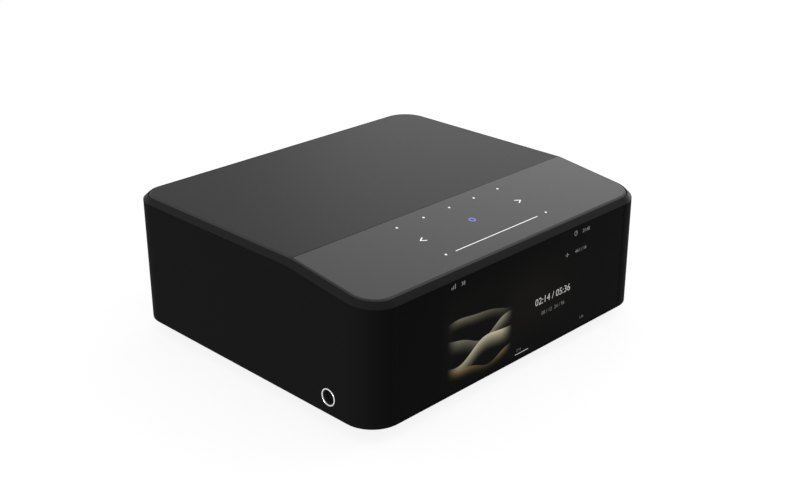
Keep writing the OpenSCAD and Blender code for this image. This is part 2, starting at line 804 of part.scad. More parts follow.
module at_xlr_pins() for (x = xlr_x, a = pin_angles)
    translate([x + pin_circle * cos(a), 0, upper_z + pin_circle * sin(a)]) children();

// Side sockets are mirrored from the left side
module both_sides() {
    children();
    mirror([1, 0, 0]) children();
}

module cabinet() color("#1b1b1c") difference() {
    union() {
        difference() {
            intersection() {
                upright(0, z_base, z_top);
                bevelled_top(0, band_w, band_h, lip_h);
            }
            intersection() {
                upright(wall, z_base - over, z_top);
                under_top(panel_t + ledge_t);
            }
            upright(seat_inset + ledge_w, z_base, z_top + over);
            difference() {
                upright(seat_inset, z_base, z_top + over);
                under_top(panel_t);
            }
        }
        intersection() {
            upright(wall / 2, z_base, z_top);
            translate([0, crease_y, z_base]) cube([body_w, rail_w, 2 * body_h], center = true);
            layer(panel_t, panel_t + rail_t);
        }
        at_corners(boss_x, boss_y) translate([0, 0, boss_z]) cylinder(r = boss_r, h = boss_h);
    }
    sheet_y(lens_w + 2 * lens_gap, lens_h + 2 * lens_gap, lens_r + lens_gap,
        front_y - over, front_y + lens_t, 0, lens_zc);
    sheet_y(module_w + 2 * module_gap, module_h + 2 * module_gap, module_r + module_gap,
        front_y - over, front_y + wall + over, 0, lens_zc);
    sheet_y(bay_w + 2 * (frame_t + frame_gap), bay_h + 2 * (frame_t + frame_gap),
        bay_r + frame_t + frame_gap, rear_y - wall - over, rear_y + over, 0, bay_zc);
    both_sides()
        rod_x(ring_hole + sleeve_t + sleeve_gap, -body_w / 2 - over, phone_x + over, phone_y, phone_z);
    at_corners(boss_x, boss_y) translate([0, 0, boss_z - over])
        cylinder(r = hole_r, h = base_screw_l - base_t + tip_gap + over);
}

module top_sheet() difference() {
    intersection() {
        upright(seat_inset + panel_gap, z_base, z_top + over);
        bevelled_top(seat_inset + panel_gap, lip_w, lip_h, 0);
    }
    under_top(panel_t);
}

module top_cover() color("#3a3b3d") intersection() {
    top_sheet();
    block(-body_w, body_w, crease_y + seam / 2, rear_y, z_base, z_top + over);
}

module control_panel() color("#4a4b4e") intersection() {
    top_sheet();
    block(-body_w, body_w, front_y, crease_y - seam / 2, z_base, z_top + over);
}

module front_lens() color("#0c0c0e")
    sheet_y(lens_w, lens_h, lens_r, front_y, front_y + lens_t, 0, lens_zc);

module display_module() color("#15161a")
    sheet_y(module_w, module_h, module_r, module_y, module_y + module_t, 0, lens_zc);

module display_bracket() color("#8c9096") difference() {
    y0 = bracket_y + bracket_t;
    y1 = bracket_y + bracket_d;
    z0 = floor_z + bracket_t;
    z1 = floor_z + bracket_h;
    across(bracket_w) polygon([[bracket_y, floor_z], [y1, floor_z], [y1, z0], [y0, z0], [y0, z1],
        [bracket_y, z1]]);
    block(-ribbon_w / 2 - notch_gap, ribbon_w / 2 + notch_gap, bracket_y - over, y1 + over,
        floor_z - over, floor_z + notch_h);
    at_bracket_holes() translate([0, 0, floor_z - over]) cylinder(r = hole_r, h = bracket_t + 2 * over);
}

module display_ribbon() color("#b07a30") {
    low = floor_z + ribbon_up;
    y1 = main_y0 - ribbon_level;
    y0 = y1 - ribbon_climb;
    lean = ribbon_t * (deck_z - low) / ribbon_climb;
    across(ribbon_w) polygon([[bracket_y, low], [y0, low], [y1, deck_z], [main_y0 + ribbon_lap, deck_z],
        [main_y0 + ribbon_lap, deck_z + ribbon_t], [y1 - lean, deck_z + ribbon_t],
        [y0 - lean, low + ribbon_t], [bracket_y, low + ribbon_t]]);
}

module under_glass(from, to) intersection() {
    block(-touch_w / 2, touch_w / 2, touch_y - touch_d, touch_y, z_base, z_top);
    layer(panel_t + from, panel_t + to);
}

module light_guide() color("#e8eef2") under_glass(0, guide_t);

module touch_board() color("#1f5a3c") under_glass(guide_t, guide_t + touch_t);

module base_plate() color("#2a2b2d") difference() {
    through = base_t + 2 * over;
    union() {
        upright(wall + base_gap, z_base, floor_z);
        at_corners(boss_x, boss_y) translate([0, 0, z_base])
            cylinder(r = head_r + head_gap + cup_t, h = boss_z - z_base);
    }
    at_corners(boss_x, boss_y) translate([0, 0, z_base - over]) {
        cylinder(r = head_r + head_gap, h = screw_sink + over);
        cylinder(r = hole_r, h = screw_sink + through);
    }
    at_corners(foot_x, foot_y) translate([0, 0, z_base - over]) cylinder(r = hole_r, h = through);
    at_bracket_holes() translate([0, 0, z_base - over]) cylinder(r = hole_r, h = through);
    for (side = [-1, 1], i = [0:vent_count - 1])
        translate([side * vent_x, vent_back + (i - (vent_count - 1) / 2) * vent_pitch, z_base - over])
            linear_extrude(through) slot(vent_l, vent_w);
}

module feet() color("#161617") at_corners(foot_x, foot_y) difference() {
    waist = foot_r - foot_taper;
    z1 = pad_drop + foot_bevel_h;
    union() {
        translate([0, 0, z1]) cylinder(r1 = waist, r2 = foot_r, h = foot_h - z1);
        translate([0, 0, pad_drop]) cylinder(r1 = waist - foot_bevel, r2 = waist, h = foot_bevel_h);
    }
    translate([0, 0, pad_drop - over]) tube(pad_hole - pad_gap, pad_r + pad_gap, pad_groove + over);
    translate([0, 0, pad_drop - over]) cylinder(r = head_r + head_gap, h = foot_seat - pad_drop + over);
    cylinder(r = hole_r, h = foot_h + over);
}

module foot_pads() color("#0f0f10") at_corners(foot_x, foot_y) tube(pad_hole, pad_r, pad_drop + pad_groove);

module foot_screws() color("#a5a8ad") at_corners(foot_x, foot_y) translate([0, 0, foot_seat])
    mirror([0, 0, 1]) screw(floor_z - foot_seat + foot_screw_out);

module base_screws() color("#303134") at_corners(boss_x, boss_y) translate([0, 0, z_base + screw_sink])
    mirror([0, 0, 1]) screw(base_screw_l);

module rear_frame() color("#202122") difference() {
    union() {
        sheet_y(bay_w + 2 * frame_t, bay_h + 2 * frame_t, bay_r + frame_t, lip_y, rear_y, 0, bay_zc);
        at_rear_screws() rod_y(rear_boss_r, rear_hole_y - rear_boss_t, lip_y + lip_t / 2, 0, 0);
    }
    sheet_y(bay_w, bay_h, bay_r, seat_y, rear_y + over, 0, bay_zc);
    sheet_y(bay_w - 2 * lip_side, bay_h - 2 * lip_end, lip_r, lip_y - over, rear_y, 0, bay_zc);
    at_rear_screws() rod_y(hole_r, rear_hole_y, rear_y, 0, 0);
}

// Cuts through the rear panel
module port(w, h, x) sheet_y(w + 2 * port_gap, h + 2 * port_gap, shell_r + port_gap,
    seat_y - over, panel_y + over, x, deck_z + h / 2);

module round_port(r, x, z) rod_y(r, seat_y - over, panel_y + over, x, z);

module rear_panel() color("#26272a") difference() {
    sheet_y(bay_w - 2 * port_gap, bay_h - 2 * port_gap, bay_r - port_gap, seat_y, panel_y, 0, bay_zc);
    at_rear_screws() round_port(hole_r, 0, 0);
    at_xlr_screws() round_port(hole_r, 0, 0);
    for (x = [optical_in_x, optical_out_x]) port(optical_w, optical_h, x);
    port(hdmi_w, hdmi_h, hdmi_x);
    port(usb_w, usb_h, usb_x);
    port(ether_w, ether_h, ether_x);
    port(inlet_w, inlet_h, inlet_x);
    for (x = [mini_x1, mini_x2]) port(mini_w, mini_h, x);
    round_port(button_r + button_gap, button_x, mini_z);
    for (x = rca_x) round_port(rca_shank + port_gap, x, upper_z);
    for (x = xlr_x) round_port(xlr_r + xlr_t + port_gap, x, upper_z);
}

module rear_screws() color("#303134") {
    at_rear_screws() translate([0, panel_y, 0]) rotate([-90, 0, 0]) screw(screw_l);
    at_xlr_screws() translate([0, panel_y + flange_t, 0]) rotate([-90, 0, 0]) screw(screw_l);
}

module board(x0, x1, y0, y1, z) block(x0, x1, y0, y1, z, z + board_t);

module main_board() color("#17442f") difference() {
    board(main_x0, main_x1, main_y0, board_y, board_z);
    at_main_holes() cylinder(r = hole_r, h = z_top);
}

module power_board() color("#6a5a25") difference() {
    board(power_x0, power_x1, power_y0, power_y, board_z);
    at_power_holes() cylinder(r = hole_r, h = z_top);
}

module analog_board() color("#17442f") difference() {
    board(analog_x0, analog_x1, board_y - analog_d, board_y, analog_z);
    at_analog_holes() cylinder(r = hole_r, h = z_top);
}

module board_standoffs() color("#b8babd") {
    at_main_holes() translate([0, 0, floor_z]) tube(hole_r, standoff_r, standoff_h);
    at_power_holes() translate([0, 0, floor_z]) tube(hole_r, standoff_r, standoff_h);
}

module analog_spacers() color("#b8babd") at_analog_holes() translate([0, 0, deck_z])
    tube(hole_r, standoff_r, analog_z - deck_z);

module board_screws() color("#a5a8ad") {
    at_main_holes() translate([0, 0, deck_z]) screw(screw_l);
    at_power_holes() translate([0, 0, deck_z]) screw(screw_l);
    at_analog_holes() translate([0, 0, analog_top]) screw(screw_l);
    at_bracket_holes() translate([0, 0, floor_z + bracket_t]) screw(bracket_t + base_t);
}

module processor_chip() color("#18181a")
    block(chip_xc - chip_w / 2, chip_xc + chip_w / 2, chip_yc - chip_w / 2, chip_yc + chip_w / 2,
        deck_z, deck_z + chip_t);

// Upright fins side by side over a width, from the left
module fins(count, x0, w, y0, y1, z0, z1) for (i = [0:count - 1])
    let (x = x0 + i * (w - fin_t) / (count - 1)) block(x, x + fin_t, y0, y1, z0, z1);

module processor_heatsink() color("#55585c") {
    x0 = chip_xc - sink_w / 2;
    y0 = chip_yc - sink_w / 2;
    z0 = deck_z + chip_t;
    block(x0, x0 + sink_w, y0, y0 + sink_w, z0, z0 + sink_t);
    fins(sink_fins, x0, sink_w, y0, y0 + sink_w, z0 + sink_t / 2, z0 + sink_h);
}

module radio_module() color("#b4b6b8")
    block(radio_x, radio_x + radio_w, radio_y, radio_y + radio_d, deck_z, deck_z + radio_t);

module aerials() color("#1f5a3c") both_sides() {
    x0 = -body_w / 2 + aerial_side;
    y1 = rear_y - aerial_back;
    z1 = z_top - panel_t;
    block(x0, x0 + aerial_l, y1 - aerial_w, y1, z1 - aerial_t, z1);
}

module audio_capacitors() color("#23252c") for (i = [0:4], j = [0:1])
    translate([analog_x0 + audio_side + i * audio_pitch, board_y - analog_d + audio_in + j * audio_pitch,
        analog_top]) cylinder(r = audio_r, h = audio_h);

module transformer() color("#3b3326") {
    x0 = power_x - core_w / 2;
    x1 = power_x + core_w / 2;
    yc = core_y + core_d / 2;
    z1 = deck_z + core_h;
    block(x0, x1, core_y, core_y + core_d, deck_z, z1);
    translate([power_x, yc, z1 - over]) cylinder(r = coil_r, h = coil_h + 2 * over);
    block(x0, x1, yc - yoke_d / 2, yc + yoke_d / 2, z1 + coil_h, z1 + coil_h + yoke_h);
}

module bulk_capacitors() color("#20222a") for (s = [-1, 1])
    translate([power_x + s * (bulk_r + bulk_gap / 2), bulk_y, deck_z]) cylinder(r = bulk_r, h = bulk_h);

module power_heatsink() color("#77797d") {
    x0 = power_x - power_sink_w / 2;
    y0 = power_sink_y;
    z1 = deck_z + power_sink_h;
    block(x0, x0 + power_sink_w, y0, y0 + fin_t, deck_z, z1);
    fins(power_fins, x0, power_sink_w, y0 + fin_t / 2, y0 + power_sink_d, deck_z, z1);
}

module mains_inlet() color("#141416") difference() {
    floor_y = port_y - inlet_l;
    sheet_y(inlet_w, inlet_h, shell_r, floor_y - inlet_end, port_y, inlet_x, inlet_z);
    for (s = [-1, 1]) rod_y(inlet_r, floor_y, port_y + over, inlet_x + s * inlet_spread, inlet_z);
    block(inlet_x - inlet_spread, inlet_x + inlet_spread, floor_y, port_y + over,
        inlet_z - inlet_web / 2, inlet_z + inlet_web / 2);
    for (s = [-1, 1])
        rod_y(inlet_pin_r + fit_gap, floor_y - inlet_pin_seat, port_y, inlet_x + s * inlet_pin_x, inlet_z);
}

module inlet_pins() color("#c9b37a") for (s = [-1, 1])
    rod_y(inlet_pin_r, port_y - inlet_l - inlet_pin_seat, port_y - inlet_pin_in,
        inlet_x + s * inlet_pin_x, inlet_z);

module ethernet_socket() color("#b9bbbe") difference() {
    plug_z = deck_z + plug_up;
    sheet_y(ether_w, ether_h, shell_r, port_y - ether_d, port_y, ether_x, deck_z + ether_h / 2);
    block(ether_x - plug_w / 2, ether_x + plug_w / 2, port_y - plug_d, port_y + over, plug_z,
        plug_z + plug_h);
    block(ether_x - latch_w / 2, ether_x + latch_w / 2, port_y - latch_d, port_y + over,
        deck_z + latch_up, plug_z + over);
}

// Eight wires that run along the roof of the hole and spring back down into it
module ethernet_contacts() color("#d9b64a") for (i = [0:7])
    translate([ether_x + (i - 3.5) * contact_pitch, port_y - plug_d, deck_z + plug_up + plug_h])
        across(contact_t) polygon([[0, 0], [contact_l, 0], [contact_l, -contact_t],
            [contact_back, -contact_drop], [contact_back - contact_t, contact_t / 2 - contact_drop],
            [contact_l - contact_back, -contact_t], [0, -contact_t]]);

// Outline with both lower corners cut off
module hdmi_shape() {
    half = hdmi_w / 2;
    low = half - hdmi_cut_w;
    polygon([[-half, hdmi_h], [-half, hdmi_cut_h], [-low, 0], [low, 0], [half, hdmi_cut_h],
        [half, hdmi_h]]);
}

module hdmi_socket() color("#b9bbbe") translate([hdmi_x, port_y, deck_z]) rotate([90, 0, 0]) difference() {
    linear_extrude(hdmi_d) hdmi_shape();
    translate([0, 0, -over]) linear_extrude(hdmi_d - shell_back + over)
        offset(delta = -shell_t) hdmi_shape();
}

module tongue(x, d, t) block(x - tongue_w / 2, x + tongue_w / 2, port_y - d + shell_back,
    port_y - tongue_in, deck_z + tongue_up, deck_z + tongue_up + t);

module hdmi_tongue() color("#17181a") tongue(hdmi_x, hdmi_d, hdmi_tongue_t);

module usb_socket() color("#b9bbbe") difference() {
    sheet_y(usb_w, usb_h, shell_r, port_y - usb_d, port_y, usb_x, deck_z + usb_h / 2);
    block(usb_x - usb_w / 2 + shell_t, usb_x + usb_w / 2 - shell_t, port_y - usb_d + shell_back,
        port_y + over, deck_z + shell_t, deck_z + usb_h - shell_t);
}

module usb_tongue() color("#17181a") tongue(usb_x, usb_d, usb_tongue_t);

module optical_socket(x) difference() {
    half = optical_w / 2;
    room = half - optical_side;
    face_y = port_y - optical_t;
    mouth_z = deck_z + optical_t + mouth_up;
    block(x - half, x + half, port_y - optical_d, port_y, deck_z, deck_z + optical_h);
    block(x - room, x + room, face_y - optical_room, face_y, deck_z + optical_t,
        deck_z + optical_h - optical_t);
    block(x - mouth / 2, x + mouth / 2, face_y - over, port_y + over, mouth_z, mouth_z + mouth);
    rod_x(trunnion_r + trunnion_gap, x - half + trunnion_wall, x + half - trunnion_wall, shutter_y,
        shutter_z);
}

module optical_in_socket() color("#1a1a1c") optical_socket(optical_in_x);

module optical_out_socket() color("#1a1a1c") optical_socket(optical_out_x);

// Flap that hangs behind the mouth on two trunnions
module shutter(x) {
    leaf = optical_w / 2 - optical_side - shutter_gap;
    reach = optical_w / 2 - trunnion_wall - shutter_gap;
    block(x - leaf, x + leaf, shutter_y - shutter_t / 2, shutter_y + shutter_t / 2, shutter_bottom,
        shutter_z + pivot_head);
    rod_x(trunnion_r, x - reach, x + reach, shutter_y, shutter_z);
}

module optical_in_shutter() color("#3c3d40") shutter(optical_in_x);

module optical_out_shutter() color("#3c3d40") shutter(optical_out_x);

module mini_sockets() color("#1a1a1c") for (x = [mini_x1, mini_x2]) difference() {
    sheet_y(mini_w, mini_h, shell_r, port_y - mini_l - mini_end, port_y, x, deck_z + mini_h / 2);
    rod_y(mini_r, port_y - mini_l, port_y + over, x, mini_z);
}

module setup_switch() color("#222326") difference() {
    y1 = lip_y - switch_in;
    block(button_x - switch_w / 2, button_x + switch_w / 2, y1 - switch_d, y1, deck_z, deck_z + switch_h);
    rod_y(button_r + plunger_gap, y1 - switch_hole, y1 + over, button_x, mini_z);
}

module setup_button() color("#d5d7da")
    rod_y(button_r, lip_y - switch_in - switch_hole + button_travel + button_rest, panel_y + button_out,
        button_x, mini_z);

module at_phono(y) for (x = rca_x) translate([x, y, upper_z]) rotate([90, 0, 0]) children();

module rca_shells() color("#d2b769") at_phono(panel_y + rca_l) difference() {
    union() {
        cylinder(r = rca_r, h = rca_l - collar_t);
        cylinder(r = rca_shank, h = rca_l + rca_tail);
    }
    translate([0, 0, -over]) cylinder(r = rca_r - rca_t, h = rca_l + rca_tail + 2 * over);
}

module rca_insulators() color("#202022") at_phono(panel_y + rca_l - rca_recess)
    tube(rca_pin_r, rca_r - rca_t - fit_gap, rca_l + rca_tail - rca_recess);

module rca_housings() color("#1a1a1c") for (x = rca_x) difference() {
    block(x - rca_w / 2, x + rca_w / 2, panel_y - rca_tail - rca_end, seat_y - body_gap, analog_top,
        upper_z + rca_w / 2);
    rod_y(rca_shank + rca_gap, panel_y - rca_tail, seat_y, x, upper_z);
}

module rca_collar(i) translate([rca_x[i], panel_y + collar_t, upper_z]) rotate([90, 0, 0])
    tube(rca_shank + rca_gap, rca_r + collar_w, collar_t);

module rca_collar_right() color("#b3202a") rca_collar(0);

module rca_collar_left() color("#e6e6e4") rca_collar(1);

module rca_collar_sub() color("#5a3d86") rca_collar(2);

module rca_collar_coax() color("#d9822b") rca_collar(3);

module xlr_shells() color("#2b2c2e") difference() {
    y1 = panel_y + flange_t;
    for (x = xlr_x) {
        sheet_y(xlr_w, xlr_h, flange_r, panel_y, y1, x, upper_z);
        rod_y(xlr_r + xlr_t, panel_y - xlr_d, panel_y + flange_t / 2, x, upper_z);
    }
    for (x = xlr_x) rod_y(xlr_r, panel_y - xlr_d - over, y1 + over, x, upper_z);
    at_xlr_screws() rod_y(hole_r, panel_y - over, y1 + over, 0, 0);
}

module xlr_inserts() color("#161617") difference() {
    for (x = xlr_x) rod_y(xlr_r - fit_gap, panel_y - xlr_d, xlr_floor, x, upper_z);
    at_xlr_pins() rod_y(pin_r + fit_gap, panel_y - xlr_d - over, xlr_floor + over, 0, 0);
}

module xlr_pins() color("#cfd1d4") at_xlr_pins()
    rod_y(pin_r, panel_y - xlr_d - pin_tail, panel_y - pin_in, 0, 0);

module headphone_sockets() color("#131314") both_sides() difference() {
    half = phone_body / 2;
    block(phone_x, phone_x + phone_l + phone_end, phone_y - half, phone_y + half, phone_z - half,
        phone_z + half);
    rod_x(phone_r, phone_x - over, phone_x + phone_l, phone_y, phone_z);
    translate([phone_x, phone_y, phone_z]) rotate([0, 90, 0])
        cylinder(r1 = ring_hole, r2 = phone_r, h = phone_sink);
}

module headphone_rings() color("#dcdde0") both_sides()
    translate([-body_w / 2 - ring_t, phone_y, phone_z]) rotate([0, 90, 0]) difference() {
        union() {
            translate([0, 0, ring_bevel]) cylinder(r = ring_r, h = ring_t - ring_bevel);
            cylinder(r1 = ring_r - ring_bevel, r2 = ring_r, h = ring_bevel);
            cylinder(r = ring_hole + sleeve_t, h = ring_t + wall);
        }
        translate([0, 0, -over]) cylinder(r = ring_hole, h = ring_t + wall + 2 * over);
    }

module headphone_boards() color("#17442f") both_sides() {
    x0 = phone_x + phone_l + phone_end;
    z0 = floor_z + phone_board_up;
    block(x0, x0 + board_t, phone_y - phone_board_w / 2, phone_y + phone_board_w / 2, z0,
        z0 + phone_board_h);
}

cabinet();
top_cover();
control_panel();
front_lens();
display_module();
display_bracket();
display_ribbon();
light_guide();
touch_board();
base_plate();
feet();
foot_pads();
foot_screws();
base_screws();
rear_frame();
rear_panel();
rear_screws();
main_board();
power_board();
analog_board();
board_standoffs();
analog_spacers();
board_screws();
processor_chip();
processor_heatsink();
radio_module();
aerials();
audio_capacitors();
transformer();
bulk_capacitors();
power_heatsink();
mains_inlet();
inlet_pins();
ethernet_socket();
ethernet_contacts();
hdmi_socket();
hdmi_tongue();
usb_socket();
usb_tongue();
optical_in_socket();
optical_out_socket();
optical_in_shutter();
optical_out_shutter();
mini_sockets();
setup_switch();
setup_button();
rca_shells();
rca_insulators();
rca_housings();
rca_collar_left();
rca_collar_right();
rca_collar_sub();
rca_collar_coax();
xlr_shells();
xlr_inserts();
xlr_pins();
headphone_sockets();
headphone_rings();
headphone_boards();
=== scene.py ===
import json
import math

import bmesh
import bpy
import numpy as np
from mathutils import Matrix, Vector


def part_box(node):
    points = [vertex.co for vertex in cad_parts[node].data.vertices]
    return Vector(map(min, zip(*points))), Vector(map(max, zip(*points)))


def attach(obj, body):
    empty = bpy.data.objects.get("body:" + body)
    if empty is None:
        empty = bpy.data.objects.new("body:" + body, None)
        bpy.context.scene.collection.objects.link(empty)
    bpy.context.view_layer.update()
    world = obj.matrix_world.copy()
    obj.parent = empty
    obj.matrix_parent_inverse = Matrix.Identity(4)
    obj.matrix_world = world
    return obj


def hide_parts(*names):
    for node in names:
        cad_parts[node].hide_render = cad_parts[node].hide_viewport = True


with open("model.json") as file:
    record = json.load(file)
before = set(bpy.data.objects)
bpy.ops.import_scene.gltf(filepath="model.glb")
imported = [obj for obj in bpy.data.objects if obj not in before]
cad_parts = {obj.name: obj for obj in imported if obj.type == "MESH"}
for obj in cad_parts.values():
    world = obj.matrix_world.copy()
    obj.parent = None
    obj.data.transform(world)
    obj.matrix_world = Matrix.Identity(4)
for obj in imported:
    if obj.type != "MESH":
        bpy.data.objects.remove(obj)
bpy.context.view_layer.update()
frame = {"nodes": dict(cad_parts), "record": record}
mm = 0.001
print("frame loaded:", len(frame["nodes"]), "nodes")


def boxOf(node):
    # lowest and highest corner of a solid, in millimetres
    return np.round(np.array(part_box(node)) / mm, 3)


def mountsOf(*names):
    # place in millimetres and axis of each of these mounts
    found = {mount["name"]: mount for mount in frame["record"]["mounts"]}
    return [(np.round(np.array(found[name]["pos_m"]) / mm, 3), found[name]["axis"]) for name in names]


# Shared measures of the cabinet, in millimetres: the outer ones come from the frame
cabinetLow, cabinetHigh = boxOf("cabinet")
roof = boxOf("top_cover")[1][2]
cabinet = {
    "halfWidth": cabinetHigh[0],
    "halfDepth": cabinetHigh[1],
    "foot": cabinetLow[2],
    "top": roof,
    "lipHeight": roof - cabinetHigh[2],  # from the cabinet's rim up to the top panels
    "cornerRadius": 17.5,
    "crease": -37.0,  # where the level top ends and the slope begins
    "frontDrop": 7.8,
    "bandWidth": 2.7,
    "bandHeight": 2.4,
    "seatInset": 2.95,
}


class Wire:
    # One output of a shader node. Arithmetic on it adds Math nodes to the same tree.
    def __init__(self, tree, socket=None):
        self.tree = tree
        self.socket = socket

    def node(self, kind, settings=None, values=None, output=0):
        made = self.tree.nodes.new(kind)
        for key, value in (settings or {}).items():
            setattr(made, key, value)
        for key, value in (values or {}).items():
            if isinstance(value, Wire):
                self.tree.links.new(value.socket, made.inputs[key])
            else:
                made.inputs[key].default_value = value
        return Wire(self.tree, made.outputs[output] if len(made.outputs) else None)

    def math(self, operation, *others):
        return self.node("ShaderNodeMath", {"operation": operation}, dict(enumerate((self, *others))))

    def __add__(self, other):
        return self.math("ADD", other)

    def __sub__(self, other):
        return self.math("SUBTRACT", other)

    def __rsub__(self, other):
        return self.math("MULTIPLY_ADD", -1.0, other)

    def __mul__(self, other):
        return self.math("MULTIPLY", other)

    def __truediv__(self, other):
        return self.math("DIVIDE", other)

    def __pow__(self, other):
        return self.math("POWER", other)

    __radd__ = __add__
    __rmul__ = __mul__

    def sine(self):
        return self.math("SINE")

    def rise(self, low, high):
        # 0 below low, 1 above high, a smooth step between
        smooth = {"interpolation_type": "SMOOTHSTEP"}
        return self.node("ShaderNodeMapRange", smooth, {"Value": self, "From Min": low, "From Max": high})

    def span(self, low, high):
        # number that goes from low to high as this value goes from 0 to 1
        return self * (high - low) + low

    def mix(self, first, second):
        # colour that goes from first to second as this value goes from 0 to 1;
        # the node's colour sockets are inputs 6 and 7 and output 2
        return self.node("ShaderNodeMix", {"data_type": "RGBA"}, {0: self, 6: first, 7: second}, 2)


def grey(value):
    return (value, value, value, 1.0)


def scaled(colour, factor):
    return tuple(min(1.0, c * factor) for c in colour[:3]) + (1.0,)


def startMaterial(name):
    material = bpy.data.materials.new(name)
    material.use_nodes = True
    material.node_tree.nodes.clear()
    return material, Wire(material.node_tree)


def closeMaterial(wire, values):
    # Principled shader with these socket values, linked to the output
    shader = wire.node("ShaderNodeBsdfPrincipled", {}, values)
    wire.node("ShaderNodeOutputMaterial", {}, {"Surface": shader})


def objectPoint(wire):
    return wire.node("ShaderNodeTexCoord", {}, {}, "Object")


def axes(wire, letters):
    # the object coordinates of these letters, in millimetres
    split = wire.node("ShaderNodeSeparateXYZ", {}, {"Vector": objectPoint(wire)})
    outputs = split.socket.node.outputs
    return [Wire(wire.tree, outputs[letter]) * (1 / mm) for letter in letters]


def noise(wire, scale, detail, stretch=(1.0, 1.0, 1.0)):
    place = wire.node("ShaderNodeMapping", {}, {"Vector": objectPoint(wire), "Scale": stretch})
    return wire.node("ShaderNodeTexNoise", {}, {"Vector": place, "Scale": scale, "Detail": detail}, "Fac")


# Plain finishes: their colour and gloss wander by a small share with a blend of two noises
grain = {
    "fineShare": 0.6,  # the broad noise has the rest
    "fineDetail": 3.0,
    "broadScale": 0.12,  # against the fine noise
    "broadDetail": 2.0,
    "bumpStrength": 0.3,
}


def finishMaterial(name, colour, roughness, metallic=0.0, specular=0.5, spread=0.08, roughSpread=0.06,
                   scale=600.0, stretch=(1.0, 1.0, 1.0), bump=0.0, edge=None):
    # bump is the height of a fine grain in millimetres;
    # edge is the tone of a bevel against the face, where the mesh has an attribute of that name;
    # that tone is painted light: above 1 a painted highlight along the bevel, below 1 painted shade on it
    material, wire = startMaterial(name)
    fine = noise(wire, scale, grain["fineDetail"], stretch)
    broad = noise(wire, scale * grain["broadScale"], grain["broadDetail"], stretch)
    blend = fine * grain["fineShare"] + broad * (1 - grain["fineShare"])

    def toned(share):
        return blend.mix(scaled(colour, share * (1 - spread)), scaled(colour, share * (1 + spread)))

    tone = toned(1.0)
    # painted light on the bevel: its colour scaled up for a highlight, down for shade
    if edge:
        bevelPaintedLight = wire.node("ShaderNodeAttribute", {"attribute_name": "edge"}, {}, "Fac")
        tone = bevelPaintedLight.mix(tone, toned(edge))
    values = {
        "Base Color": tone,
        "Roughness": blend.span(roughness - roughSpread, roughness + roughSpread),
        "Metallic": metallic,
        "Specular IOR Level": specular,
    }
    if bump:
        heights = {"Strength": grain["bumpStrength"], "Distance": bump * mm, "Height": fine}
        values["Normal"] = wire.node("ShaderNodeBump", {}, heights)
    closeMaterial(wire, values)
    return material


finishes = {
    "cabinet_coat": dict(colour=grey(0.0028), roughness=0.6, specular=0.01, spread=0.12,
                         scale=2600.0, bump=0.02),
    "band_coat": dict(colour=grey(0.0069), roughness=0.42, specular=0.035, spread=0.1,
                      scale=2600.0, bump=0.01),
    # the top cover's bevel is painted lighter than its face, a painted highlight (edge=1.5)
    "top_satin": dict(colour=grey(0.0153), roughness=0.46, specular=0.069, spread=0.05,
                      scale=3200.0, bump=0.012, edge=1.5),
    # the control glass's bevel is painted darker than its face, painted shade (edge=0.4)
    "touch_glass": dict(colour=grey(0.0295), roughness=0.4, specular=0.224, spread=0.03,
                        scale=2600.0, edge=0.4),
    "lens_glass": dict(colour=grey(0.0022), roughness=0.12, specular=0.0096, spread=0.2,
                       roughSpread=0.02, scale=300.0),
    "screen": dict(colour=grey(0.004), roughness=0.3, specular=0.2, scale=400.0),
    "steel": dict(colour=(0.46, 0.47, 0.48), roughness=0.34, metallic=1.0, scale=900.0,
                  stretch=(0.08, 1, 1)),
    "black_sheet": dict(colour=grey(0.012), roughness=0.5, specular=0.3, spread=0.15,
                        scale=2400.0, bump=0.03),
    "black_plastic": dict(colour=grey(0.014), roughness=0.42, specular=0.4, spread=0.1,
                          scale=1800.0, bump=0.01),
    "socket_dark": dict(colour=grey(0.008), roughness=0.6, specular=0.06, spread=0.1, scale=1800.0),
    "grey_plastic": dict(colour=(0.12, 0.12, 0.125), roughness=0.45, scale=1800.0, bump=0.01),
    "white_plastic": dict(colour=(0.78, 0.77, 0.74), roughness=0.4, spread=0.04, scale=1500.0),
    "red_plastic": dict(colour=(0.48, 0.014, 0.012), roughness=0.38, scale=1500.0),
    "violet_plastic": dict(colour=(0.13, 0.035, 0.26), roughness=0.38, scale=1500.0),
    "orange_plastic": dict(colour=(0.62, 0.14, 0.012), roughness=0.38, scale=1500.0),
    "rubber": dict(colour=grey(0.02), roughness=0.82, specular=0.25, spread=0.15, scale=1400.0, bump=0.05),
    "nickel": dict(colour=(0.62, 0.6, 0.56), roughness=0.22, metallic=1.0, spread=0.04, scale=1200.0),
    "ring_chrome": dict(colour=(0.74, 0.74, 0.75), roughness=0.14, metallic=1.0, spread=0.02,
                        roughSpread=0.03, scale=900.0),
    "gold": dict(colour=(0.83, 0.58, 0.22), roughness=0.24, metallic=1.0, spread=0.05, scale=1200.0),
    "screw_zinc": dict(colour=(0.55, 0.56, 0.57), roughness=0.3, metallic=1.0, scale=1600.0),
    "screw_black": dict(colour=grey(0.025), roughness=0.36, metallic=0.4, scale=1600.0),
    "diffuser": dict(colour=(0.7, 0.71, 0.72), roughness=0.55, spread=0.04, scale=700.0),
    "heatsink": dict(colour=(0.36, 0.37, 0.38), roughness=0.42, metallic=1.0, scale=1200.0,
                     stretch=(1, 0.08, 1)),
    "can": dict(colour=(0.58, 0.58, 0.57), roughness=0.28, metallic=1.0, scale=900.0,
                stretch=(1, 1, 0.1)),
    "sleeve": dict(colour=(0.012, 0.014, 0.02), roughness=0.32, scale=900.0),
    "ferrite": dict(colour=(0.045, 0.04, 0.037), roughness=0.7, spread=0.2, scale=2400.0, bump=0.05),
}
materials = {name: finishMaterial(name, **settings) for name, settings in finishes.items()}

